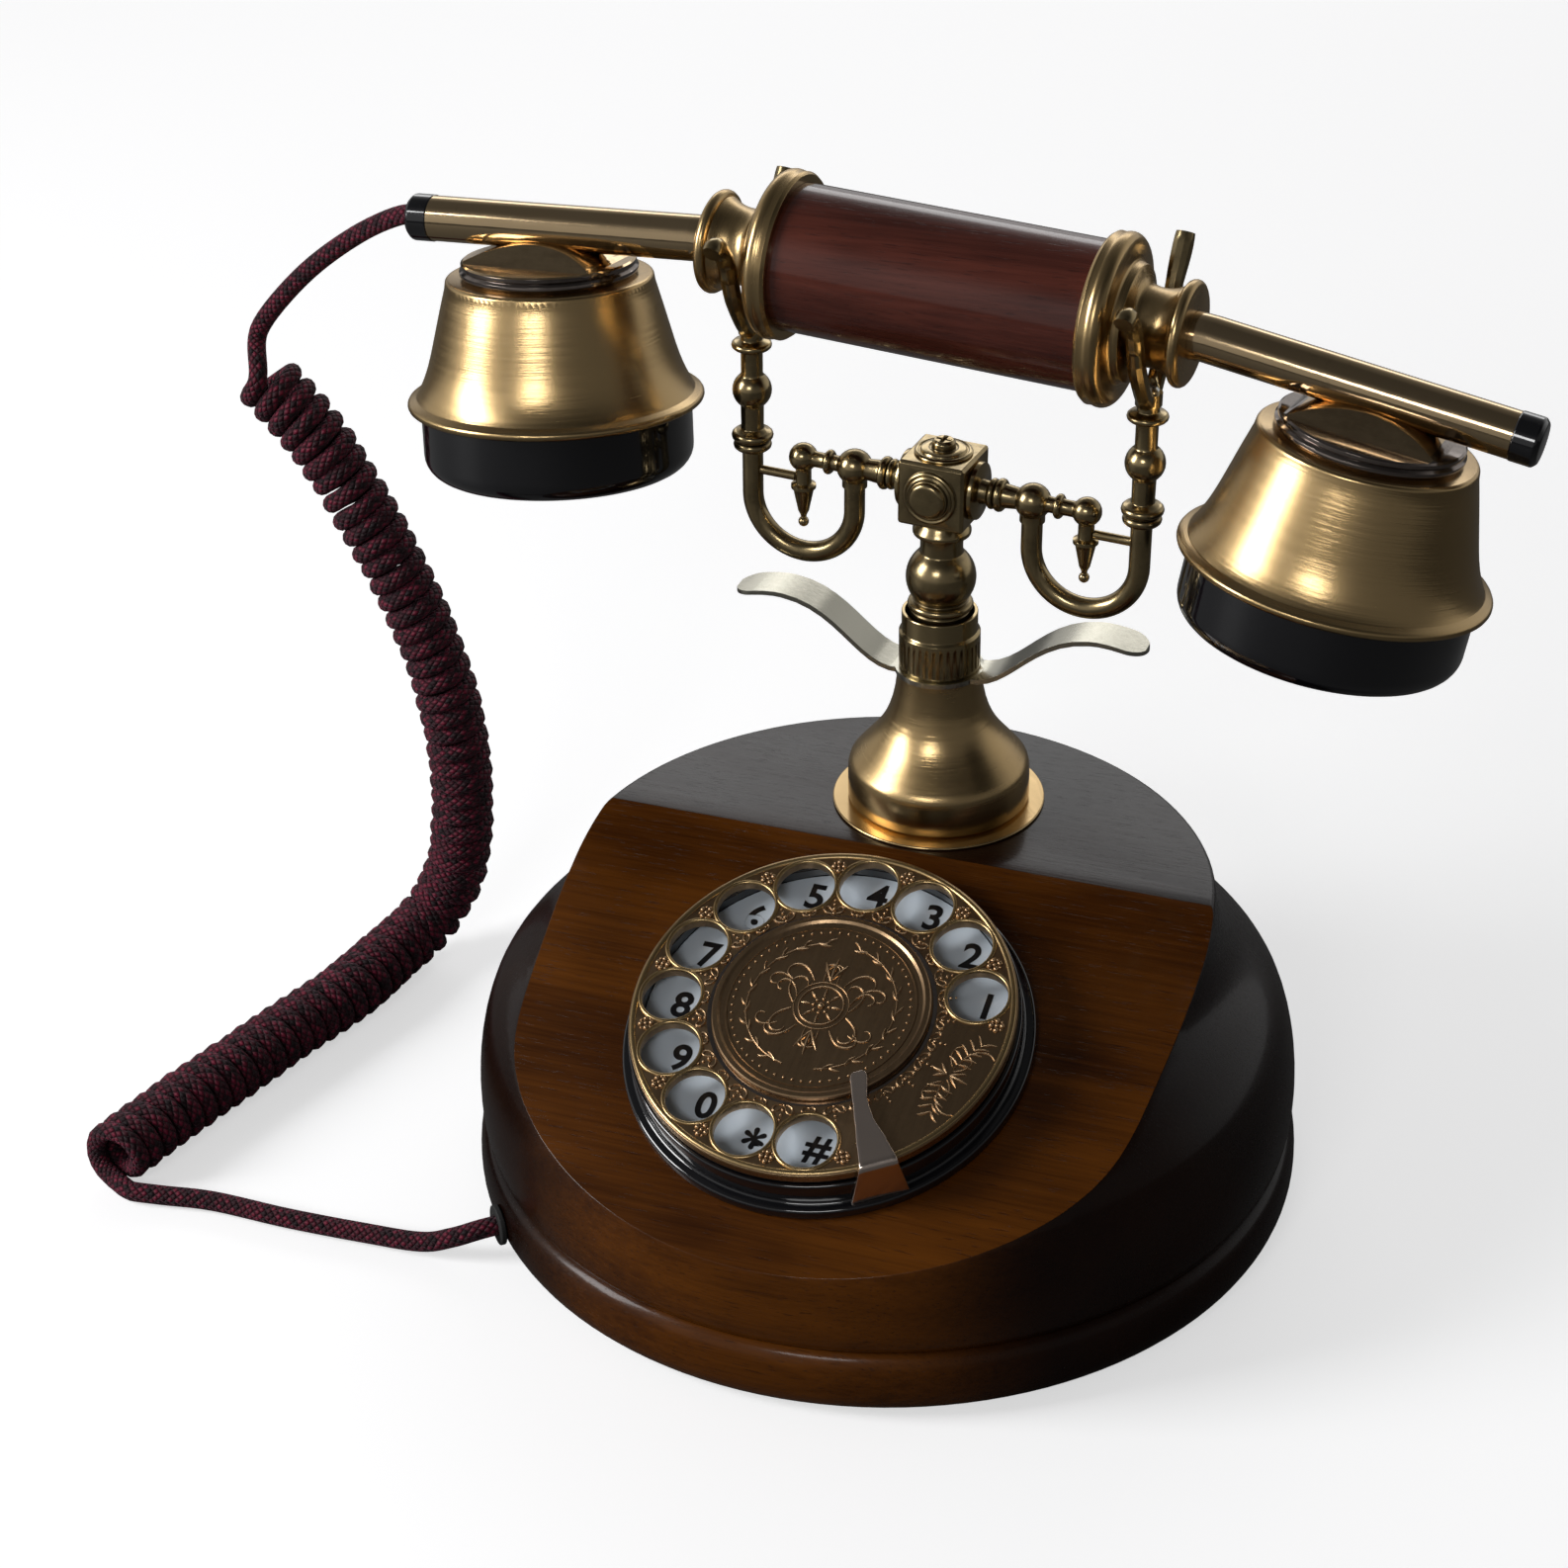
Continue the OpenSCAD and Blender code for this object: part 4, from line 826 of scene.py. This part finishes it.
UPPER_ROUTE = [(-0.126, 0.04725, 0.2126), (-0.133, 0.04775, 0.2121), (-0.140, 0.0483, 0.2115),
               (-0.153, 0.0496, 0.2045), (-0.168, 0.050, 0.193), (-0.181, 0.050, 0.179),
               (-0.187, 0.050, 0.168)]
COIL_ROUTE = [(-0.183, 0.050, 0.162), (-0.170, 0.050, 0.148), (-0.159, 0.050, 0.130),
              (-0.149, 0.050, 0.110), (-0.141, 0.050, 0.088), (-0.137, 0.050, 0.066), (-0.137, 0.050, 0.044),
              (-0.140, 0.049, 0.025), (-0.146, 0.042, 0.012), (-0.150, 0.028, 0.009), (-0.153, 0.007, 0.009),
              (-0.159, -0.013, 0.009), (-0.164, -0.032, 0.009), (-0.169, -0.050, 0.009),
              (-0.173, -0.067, 0.009), (-0.176, -0.080, 0.009)]
TAIL_ROUTE = [(-0.170, -0.080, 0.003), (-0.160, -0.078, 0.0026), (-0.147, -0.076, 0.0026),
              (-0.127, -0.076, 0.0026), (-0.107, -0.075, 0.0026), (-0.092, -0.0745, 0.0034),
              (-0.084, -0.0735, 0.006), (-0.0775, -0.071, 0.0083), (-0.0715, -0.0655, 0.0083)]


COIL_HANG = [(-0.137, 0.050, 0.044), (-0.183, 0.050, 0.166)]        # where it leaves the floor, and its top
UPPER_PULL, LOWER_PULL = 0.022, 0.018        # how softly the curls' two ends are led in
FLOOR_GAP = 0.0001


def smooth_route(points, steps):
    """Points on a smooth line through the route."""
    points = [Vector(p) for p in points]
    last = len(points) - 1
    line = []
    for i in range(last):
        a, b, c, d = points[max(i - 1, 0)], points[i], points[i + 1], points[min(i + 2, last)]
        for step in range(steps):
            t = step / steps
            line.append(0.5 * (2 * b + (c - a) * t + (2 * a - 5 * b + 4 * c - d) * t * t
                               + (3 * b - a - 3 * c + d) * t ** 3))
    return line + [points[-1]]


def point_along(line, spans, distance):
    """Point and direction at a distance along the line, whose running lengths are spans."""
    i = 0
    while i < len(spans) - 2 and spans[i + 1] < distance:
        i += 1
    share = (distance - spans[i]) / max(spans[i + 1] - spans[i], 1e-9)
    return line[i].lerp(line[i + 1], min(max(share, 0), 1)), (line[i + 1] - line[i]).normalized()


def curled(line, radius, pitch, steps):
    """A helix round the line, from the front of its upper mouth to the bottom of its lower one."""
    spans = [0.0]
    for a, b in zip(line, line[1:]):
        spans.append(spans[-1] + (b - a).length)
    total = spans[-1]
    count = round(total / pitch * steps)
    side = Vector((0, 1, 0))
    chance = random.Random(5)
    wobble = [chance.uniform(-1, 1) for _ in range(count // steps + 3)]
    helix = []
    for i in range(count + 1):
        turn = i / steps
        spot, way = point_along(line, spans, total * i / count)
        side = (side - way * side.dot(way)).normalized()
        up = way.cross(side)
        k = int(turn)
        drift = wobble[k] * (1 - turn + k) + wobble[k + 1] * (turn - k)
        a = TURN * (turn + 0.5)
        ray = math.cos(a) * side + math.sin(a) * up
        helix.append((spot + radius * (1 + 0.03 * drift) * ray + 0.0003 * drift * way, ray.z))
    last = min(range(count - steps, count), key=lambda i: helix[i][1])
    return [spot for spot, _ in helix[:last + 1]]


def joined(first, second, pull):
    """Points of a smooth bridge from the end of one line to the start of the next."""
    steps = 10
    a, b = first[-1], second[0]
    out = (first[-1] - first[-2]).normalized() * pull
    into = (second[1] - second[0]).normalized() * pull
    bridge = []
    for step in range(1, steps):
        t = step / steps
        bridge.append((2 * t ** 3 - 3 * t * t + 1) * a + (t ** 3 - 2 * t * t + t) * out
                      + (3 * t * t - 2 * t ** 3) * b + (t ** 3 - t * t) * into)
    return bridge


class TELEPHONE_OT_cord(bpy.types.Operator):
    """Adds the braided cord, curled between the handset and its tail"""
    bl_idname = "telephone.cord"
    bl_label = "Cord"

    def execute(self, context):
        settings = context.scene.cord
        thick = settings.diameter * MM
        curl_r = (settings.coil - settings.diameter) / 2 * MM
        upper = smooth_route(UPPER_ROUTE, 6)
        tail = smooth_route(TAIL_ROUTE, 6)
        middle = smooth_route(COIL_ROUTE, 8)
        curls = curled(middle, curl_r, settings.pitch * MM, 16)
        upper, tail = upper[:-5], tail[4:]
        line = upper + joined(upper, curls, UPPER_PULL) + curls + joined(curls, tail, LOWER_PULL) + tail
        line = [line[0]] + [b for a, b in zip(line, line[1:]) if (b - a).length > 0.0006]
        for spot in line:
            spot.z = max(spot.z, thick / 2 + FLOOR_GAP)
        piece = finished("cord", self.tube(line, thick / 2, 12), "cord", None,
                         ["cord_upper", "cord_coil", "cord_lower"], smooth=80)
        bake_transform(piece, "base", "handset", *COIL_HANG)
        return {"FINISHED"}

    def tube(self, line, radius, sides):
        """A closed tube along the line, with a UV map in turns round it and along it."""
        bm = bmesh.new()
        layer = bm.loops.layers.uv.new("UVMap")
        side = Vector((0, 1, 0.2))
        rings, marks, run = [], [], 0.0
        for i, spot in enumerate(line):
            way = (line[min(i + 1, len(line) - 1)] - line[max(i - 1, 0)]).normalized()
            side = (side - way * side.dot(way)).normalized()
            up = way.cross(side)
            rings.append([bm.verts.new(spot + radius * (math.cos(TURN * k / sides) * side
                                                        + math.sin(TURN * k / sides) * up))
                          for k in range(sides)])
            marks.append(run)
            if i + 1 < len(line):
                run += (line[i + 1] - spot).length / (TURN * radius)
        for i in range(len(rings) - 1):
            for k in range(sides):
                j = (k + 1) % sides
                face = bm.faces.new((rings[i][k], rings[i][j], rings[i + 1][j], rings[i + 1][k]))
                corners = ((k, i), (k + 1, i), (k + 1, i + 1), (k, i + 1))
                for loop, (turn, along) in zip(face.loops, corners):
                    loop[layer].uv = (turn / sides, marks[along])
        bm.faces.new(reversed(rings[0]))
        bm.faces.new(rings[-1])
        return bm


BASE_PARTS = [("cord_grommet", "rubber", "rubber", 0.3),        # node, finish, slot, bevel
              ("bottom_plate", "plate_paint", "plate_steel", 0.3),
              ("rubber_feet", "rubber", "rubber", 0.3),
              ("bottom_screws", "steel", "steel", 0.1),
              ("line_jack", "black", "black_plastic", 0.3),
              ("circuit_board", "board", "board", 0.1),
              ("sounder", "black", "black_plastic", 0.3),
              ("hook_switch", "black", "black_plastic", 0.2),
              ("hook_lever", "steel", "steel", 0.1)]


class TELEPHONE_OT_base(bpy.types.Operator):
    """Finishes the wood base, its plate, feet, socket and works"""
    bl_idname = "telephone.base"
    bl_label = "Base"

    def execute(self, context):
        refined("base_dome", ["wood_base", "wood_slope"], bevel=0.9, limit=14, paint=self.slope)
        refined("base_plinth", "wood_base", bevel=0.5, limit=20)
        for node, finish, slot, bevel in BASE_PARTS:
            refined(node, finish, bevel=bevel)
        return {"FINISHED"}

    def slope(self, bm):
        """Gives the sloping face the second finish."""
        out = -Vector(JOINTS["dial_turn"]["axis"])
        for face in bm.faces:
            face.material_index = 1 if face.normal.dot(out) > 0.9995 else 0


DIAL_WORKS = [("dial_frame", "gear_brass", 0.15), ("dial_shaft", "steel", 0.1),        # node, finish, bevel
              ("drive_gear", "gear_brass", 0.05), ("governor", "gear_brass", 0.05),
              ("return_spring", "steel", 0)]
# The finger stop's strip: distance along it, then where its two edges are.
STOP_EDGES = [(0, 2.9, 4.9), (0.5, 2.2, 5.6), (1.6, 1.8, 5.7), (8, 1.0, 4.3), (13, 0.3, 4.5), (19, -0.6, 6.0),
              (24, -1.2, 7.0), (37.6, -4.9, 8.4)]


class TELEPHONE_OT_dial(bpy.types.Operator):
    """Builds the dial: wheel with rimmed holes, ornaments, number plate, digits and stop"""
    bl_idname = "telephone.dial"
    bl_label = "Dial"

    def execute(self, context):
        settings = context.scene.dial
        place = dial_place()
        turns = [settings.first + settings.step * i for i in range(12)]
        spots = [polar(settings.holes, turn) for turn in turns]
        self.face = settings.wheel_top + settings.relief
        self.wheel(settings, place, spots)
        self.crosses(settings, place, turns)
        self.scrolls(settings, place, turns)
        self.spray(settings, place)
        self.disc(settings, place)
        self.digits(settings, place, spots)
        refined("number_plate", "number_plate", bevel=0.1)
        refined("dial_housing", "gloss_black", place, bevel=0.5, limit=25)
        self.stop(settings, place)
        for node, finish, bevel in DIAL_WORKS:
            refined(node, finish, bevel=bevel)
        return {"FINISHED"}

    def wheel(self, settings, place, spots):
        """The wheel's plate with its rims and edge."""
        holes = [(x, y, settings.hole) for x, y in spots]
        low = settings.wheel_top - settings.wheel_thick
        level = place @ Matrix.Translation((0, 0, low * MM))
        plate = flat_plate("wheel", (0, 0, settings.wheel), holes, settings.wheel_thick, 0.25, level,
                           "dial_brass")
        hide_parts("finger_wheel")
        top = settings.wheel_thick
        bm = lathe(ring(settings.wheel - 0.95, 1.5, 0.55, top - 0.15), level, 160)
        finished("wheel_edge", bm, "dial_side", "dial")
        side = settings.wheel + 0.03
        band = [(side - 0.3, 0.1), (side, 0.35), (side, top - 0.35), (side - 0.3, top - 0.05)]
        bm = lathe(band, level, 160)
        turned_uv(bm, level)
        finished("wheel_side", bm, "dial_side", "dial")
        whole = bmesh.new()
        for x, y in spots:
            spot = level @ Matrix.Translation((x * MM, y * MM, 0))
            part = lathe(ring(settings.hole + 0.32, 1.0, 0.5, top - 0.1), spot, 56)
            mesh = bpy.data.meshes.new("rim")
            part.to_mesh(mesh)
            part.free()
            take_in(whole, mesh)
        finished("hole_rims", whole, "dial_side", "dial")

    def crosses(self, settings, place, turns):
        """Beaded crosses between the holes, near the edge: a middle, four petals and four small beads."""
        spots = []
        for hole_turn in turns[1:] + turns[:1] + [turns[-1] + settings.step]:
            turn = hole_turn - settings.step / 2
            x, y = polar(settings.wheel - settings.cross_in, turn)
            spots.append((x, y, 0.55))
            for k in range(4):
                dx, dy = polar(1.25, turn + TURN * k / 4)
                spots.append((x + dx, y + dy, 0.72))
                dx, dy = polar(1.5, turn + TURN * (k + 0.5) / 4)
                spots.append((x + dx, y + dy, 0.38))
        beads("crosses", spots, place, self.face)

    def scrolls(self, settings, place, turns):
        """Pairs of scrolls and beads between the disc and the holes."""
        count, past_holes, narrow = 30, 22, 0.62
        foot = settings.disc + settings.scroll_gap
        strokes, spots = [], []
        for k in range(count):
            turn = turns[0] + settings.step / 2 + TURN * k / count
            place_in_gap = (turn - turns[0]) / settings.step % 1
            wide = abs(place_in_gap - 0.5) < 0.3 or k > past_holes
            out = Matrix.Rotation(turn - math.pi / 2, 4, "Z") @ Matrix.Translation((0, foot, 0))
            pair = [scroll((0.35, 0.1), 0.2, 4.8 * (1 if wide else narrow), 5.2, 0.36)]
            if wide:
                pair.append(scroll((0.4, 0.9), 1.1, 3.8, -4.0, 0.32))
                for height, radius in ((1.5, 0.5), (2.9, 0.42), (4.1, 0.34)):
                    spots.append((*polar(foot + height, turn), radius))
            spots.append((*polar(foot + 0.3, turn), 0.42))
            strokes += moved(mirrored(pair), out)
        drawn("scrolls", strokes, place, self.face)
        beads("scroll_beads", spots, place, self.face)

    def spray(self, settings, place):
        """A leafy spray in the sector without holes."""
        middle = settings.first - settings.step / 2 - settings.spray_turn
        stem = [scroll((2.0, 0), 0.15, 11.5, 2.3, 0.42), scroll((1.2, 0.5), 0.9, 7.5, -3.2, 0.34),
                scroll((2.2, -0.4), -0.8, 8.0, 3.0, 0.34)]
        strokes = mirrored(stem)
        for k in range(5):
            start = (3.2 + 1.7 * k, 0.2 + 0.12 * k * k)
            strokes += mirrored([leaf(start, 1.2 - 0.1 * k, 3.4, 0.42, 0.5),
                                 leaf(start, -1.0 + 0.1 * k, 3.2, 0.42, -0.5)])
        strokes += [leaf((0, 0.4), math.pi / 2 + d, 4.6 - abs(d) * 1.6, 0.5, 0.0) for d in (-0.6, 0, 0.6)]
        strokes += [leaf((0, -0.4), -math.pi / 2 + d, 4.2 - abs(d) * 1.6, 0.5, 0.0) for d in (-0.6, 0, 0.6)]
        out = Matrix.Rotation(middle - math.pi / 2, 4, "Z") @ Matrix.Translation((0, settings.holes - 0.4, 0))
        strokes = moved(strokes, out)
        drawn("spray", strokes, place, self.face)

    def disc(self, settings, place):
        """The centre disc with its rim, line ring and cartouche, and a flat dark ring round it that is
        painted shade.
        """
        r, top = settings.disc, settings.disc_top
        field = top - 0.35
        under = [(0, top - 1.4), (r - 0.2, top - 1.4), (r, top - 1.1)]
        rim = [(r, top - 0.25), (r - 0.3, top + 0.05), (r - 1.3, top + 0.1), (r - 1.9, top - 0.35)]
        line = [(r - 3.0, top - 0.4), (r - 3.1, top - 0.2), (r - 3.5, top - 0.2), (r - 3.6, top - 0.4)]
        outline = under + rim + line + [(0, top - 0.4)]
        bm = lathe(outline, place, 144)
        finished("disc", bm, "dial_brass", "dial", ["centre_disc"], smooth=25)
        # Painted shade: a flat dark ring laid on the wheel just round the disc's edge stands for the shade in
        # the groove there.
        groove_shade = ring(r + 0.75, 1.0, 0.02, settings.wheel_top + 0.02)
        finished("disc_groove_shade", lathe(groove_shade, place, 96), "nickel", "dial")
        drawn("cartouche", self.cartouche(), place, field)
        spots = [(*polar(r - 4.6, TURN * k / 60), 0.36) for k in range(60)]
        spots += [(*polar(1.9, TURN * k / 8), 0.42) for k in range(8)] + [(0, 0, 0.9)]
        beads("disc_beads", spots, place, field)

    def cartouche(self):
        """Strokes of a leafy cartouche round a rosette."""
        strokes = [[(*polar(5.2, TURN * k / 40), 0.34) for k in range(41)],
                   [(*polar(6.4, TURN * k / 40), 0.22) for k in range(41)]]
        strokes += [leaf(polar(2.6, TURN * k / 8), TURN * k / 8, 2.2, 0.42, 0.0) for k in range(8)]
        half = [scroll((6.6, -0.5), 0.9, 12, 4.2, 0.46), scroll((6.4, 1.5), 1.2, 10, -4.6, 0.40),
                scroll((6.6, -2.0), -0.6, 12, -4.4, 0.46), scroll((3.6, 6.2), 1.0, 12, -4.2, 0.44),
                scroll((1.6, 6.8), 1.5, 9, 4.2, 0.38), scroll((4.0, -6.2), -1.0, 12, 4.2, 0.44),
                scroll((1.6, -6.8), -1.5, 9, -4.2, 0.38), scroll((8.5, -6.5), -0.5, 9, 4.4, 0.36),
                scroll((8.6, 5.6), 0.5, 9, -4.4, 0.36)]
        for k in range(9):
            a = -1.25 + 0.31 * k
            x, y = polar(17.6, a)
            half.append(leaf((x, y), a + math.pi / 2 + 0.7, 3.2, 0.44, -0.7))
            x, y = polar(17.2, a + 0.1)
            half.append(leaf((x, y), a + math.pi / 2 - 0.75, 2.8, 0.40, 0.7))
        half.append([(*polar(17.3, -1.35 + 0.067 * k), 0.28) for k in range(41)])
        strokes += mirrored(half)
        strokes += [leaf((0, 7), math.pi / 2 + d, 6.5 - 2 * abs(d), 0.6, 0) for d in (-0.5, 0, 0.5)]
        strokes += [leaf((0, -7), -math.pi / 2 + d, 6.5 - 2 * abs(d), 0.6, 0) for d in (-0.5, 0, 0.5)]
        return strokes

    def digits(self, settings, place, spots):
        """Upright digits on the number plate."""
        face = settings.plate_top + settings.ink_rise
        whole = bmesh.new()
        for mark, (x, y) in zip("1234567890*#", spots):
            curve = bpy.data.curves.new("digit", "FONT")
            curve.body = mark
            curve.size = settings.digit * MM * (1.725 if mark == "*" else 1.38)
            curve.offset = 0.22 * MM
            curve.extrude = 0.06 * MM
            mesh = mesh_of(curve)
            middle = [(min(v.co[i] for v in mesh.vertices) + max(v.co[i] for v in mesh.vertices)) / 2
                      for i in (0, 1)]
            spot = Vector((x + settings.digit_x, y + settings.digit_y, face)) * MM
            mesh.transform(Matrix.Translation(spot - Vector((*middle, 0))))
            take_in(whole, mesh)
        whole.transform(place)
        finished("digits", whole, "ink", "base", smooth=20)

    def stop_edges(self, run):
        """Where the strip's two edges are at a distance along it."""
        last = len(STOP_EDGES) - 2
        k = max(i for i in range(last + 1) if STOP_EDGES[i][0] <= run + 1e-9)
        (start, *edges), (end, *next_edges) = STOP_EDGES[k], STOP_EDGES[k + 1]
        t = (run - start) / (end - start)
        if 0 < k < last:
            t = 0.6 * t + 0.4 * t * t * (3 - 2 * t)
        return [a + (b - a) * t for a, b in zip(edges, next_edges)]

    def stop(self, settings, place):
        """The bent strip that stops the finger: a blade that flares into its foot."""
        flat, bend = settings.stop_flat, settings.stop_bend
        arc = bend * math.pi / 2
        total = flat + arc + settings.stop_top - bend - settings.stop_low
        bm = bmesh.new()
        bmesh.ops.create_grid(bm, x_segments=72, y_segments=8, size=0.5)
        for vert in bm.verts:
            run, across = (vert.co.x + 0.5) * total, vert.co.y + 0.5
            left, right = self.stop_edges(run)
            past = max(0, run - flat)
            turn = min(past / bend, math.pi / 2)
            x = settings.stop_tip + min(run, flat) + bend * math.sin(turn)
            z = settings.stop_top - bend + bend * math.cos(turn) - max(0, past - arc)
            vert.co = (x * MM, (left + (right - left) * across) * MM, z * MM)
        bm.transform(place @ Matrix.Rotation(settings.stop_turn, 4, "Z"))
        piece = finished("finger_stop_strip", bm, "finger_stop", "base", ["finger_stop"],
                         smooth=80)
        thick = piece.modifiers.new("Thickness", "SOLIDIFY")
        thick.thickness = settings.stop_thick * MM
        out = Vector(place.col[2][:3])
        thick.offset = -1 if sum(face.normal.dot(out) * face.area for face in piece.data.polygons) > 0 else 1
        soften(piece, 0.25, 50, 3)


CRADLE_PARTS = [("stem_washer", "turned_brass", "brass", 0.3),        # node, finish, slot, bevel
                ("stem_cone", "turned_brass", "brass", 0.2), ("wing_plate", "wing_steel", "wing_steel", 0.5),
                ("knurled_collar", "antique_brass", "antique_brass", 0.2),
                ("stem_tube", "antique_brass", "antique_brass", 0.2), ("stem_nut", "steel", "steel", 0.2),
                ("plunger", "antique_brass", "antique_brass", 0.2), ("cradle_spring", "steel", "steel", 0),
                ("centre_block", "antique_brass", "antique_brass", 0.35),
                ("top_screw", "antique_brass", "antique_brass", 0.15), ("fork_screws", "steel", "steel", 0.1)]


class TELEPHONE_OT_cradle(bpy.types.Operator):
    """Finishes the stem and the cradle that rides on it"""
    bl_idname = "telephone.cradle"
    bl_label = "Stem and cradle"

    def execute(self, context):
        stem = Matrix.Translation(centre("stem_cone"))
        for node, finish, slot, bevel in CRADLE_PARTS:
            refined(node, finish, stem, bevel)
        for side in ("left", "right"):
            for node, bevel in (("arm_", 0.25), ("u_tube_", 0.1), ("post_", 0.2), ("fork_", 0)):
                refined(node + side, "antique_brass", bevel=bevel)
        return {"FINISHED"}


class TELEPHONE_OT_handset(bpy.types.Operator):
    """Finishes the handset's grip, cuffs, bells and caps"""
    bl_idname = "telephone.handset"
    bl_label = "Handset"

    def execute(self, context):
        settings = context.scene.handset
        along = handset_place()
        axis = along @ Matrix.Rotation(math.pi / 2, 4, "Y")
        refined("grip", "wood_grip", axis, bevel=0.3)
        for side, sign in (("left", -1), ("right", 1)):
            tip_x = (settings.grip + settings.elbow + settings.bend * math.sin(settings.droop)) * MM
            tip = (along @ Matrix.Translation((sign * tip_x, 0, 0))
                   @ Matrix.Rotation(sign * settings.droop, 4, "Y"))
            far = (settings.bell_x * MM - tip_x) / math.cos(settings.droop)
            bell = tip @ Matrix.Translation((sign * far, 0, 0))
            refined("cuff_" + side, "turned_brass", axis, bevel=0.25)
            refined("tube_" + side, "saddle_brass", bevel=0.1)
            refined("saddle_" + side, ["nickel", "saddle_brass"], bevel=0.3, limit=24,
                    paint=lambda bm, place=bell: self.vault(bm, place))
            refined("bell_" + side, "turned_brass", bell, bevel=0.15)
        for cap in ("cord_end_cap", "plain_end_cap", "earpiece_cap", "mouthpiece_cap"):
            refined(cap, "gloss_black", bevel=0.3)
        for capsule in ("earpiece_capsule", "microphone_capsule"):
            refined(capsule, "capsule", bevel=0.2)
        return {"FINISHED"}

    def vault(self, bm, place):
        """Gives the block above the saddle's ring the second finish."""
        back = place.inverted()
        low = -bpy.context.scene.handset.vault * MM
        for face in bm.faces:
            face.material_index = 1 if (back @ face.calc_center_median()).z > low else 0


class TELEPHONE_PT_panel(bpy.types.Panel):
    """Sizes, colours and the buttons that make each piece"""
    bl_label = "Cradle telephone"
    bl_idname = "TELEPHONE_PT_panel"
    bl_space_type = "VIEW_3D"
    bl_region_type = "UI"
    bl_category = "Telephone"

    def draw(self, context):
        layout = self.layout
        for name, settings in SETTINGS.items():
            box = layout.box()
            box.label(text=name.capitalize())
            for prop in settings.__annotations__:
                box.prop(getattr(context.scene, name), prop)
        for operator in OPERATORS:
            layout.operator(operator.bl_idname)


OPERATORS = [TELEPHONE_OT_stage, TELEPHONE_OT_cord, TELEPHONE_OT_base, TELEPHONE_OT_dial, TELEPHONE_OT_cradle,
             TELEPHONE_OT_handset]


def register():
    """Adds the settings, operators and panel."""
    for name, settings in SETTINGS.items():
        bpy.utils.register_class(settings)
        setattr(bpy.types.Scene, name, PointerProperty(type=settings))
    for kind in OPERATORS + [TELEPHONE_PT_panel]:
        bpy.utils.register_class(kind)


def unregister():
    """Takes them away again."""
    for kind in reversed(OPERATORS + [TELEPHONE_PT_panel]):
        bpy.utils.unregister_class(kind)
    for name, settings in SETTINGS.items():
        delattr(bpy.types.Scene, name)
        bpy.utils.unregister_class(settings)


def main():
    """Makes every piece in order."""
    register()
    MATERIALS.update(make_materials())
    bpy.ops.telephone.stage()
    bpy.ops.telephone.cord()
    bpy.ops.telephone.base()
    bpy.ops.telephone.dial()
    bpy.ops.telephone.cradle()
    bpy.ops.telephone.handset()


if __name__ == "__main__":
    main()
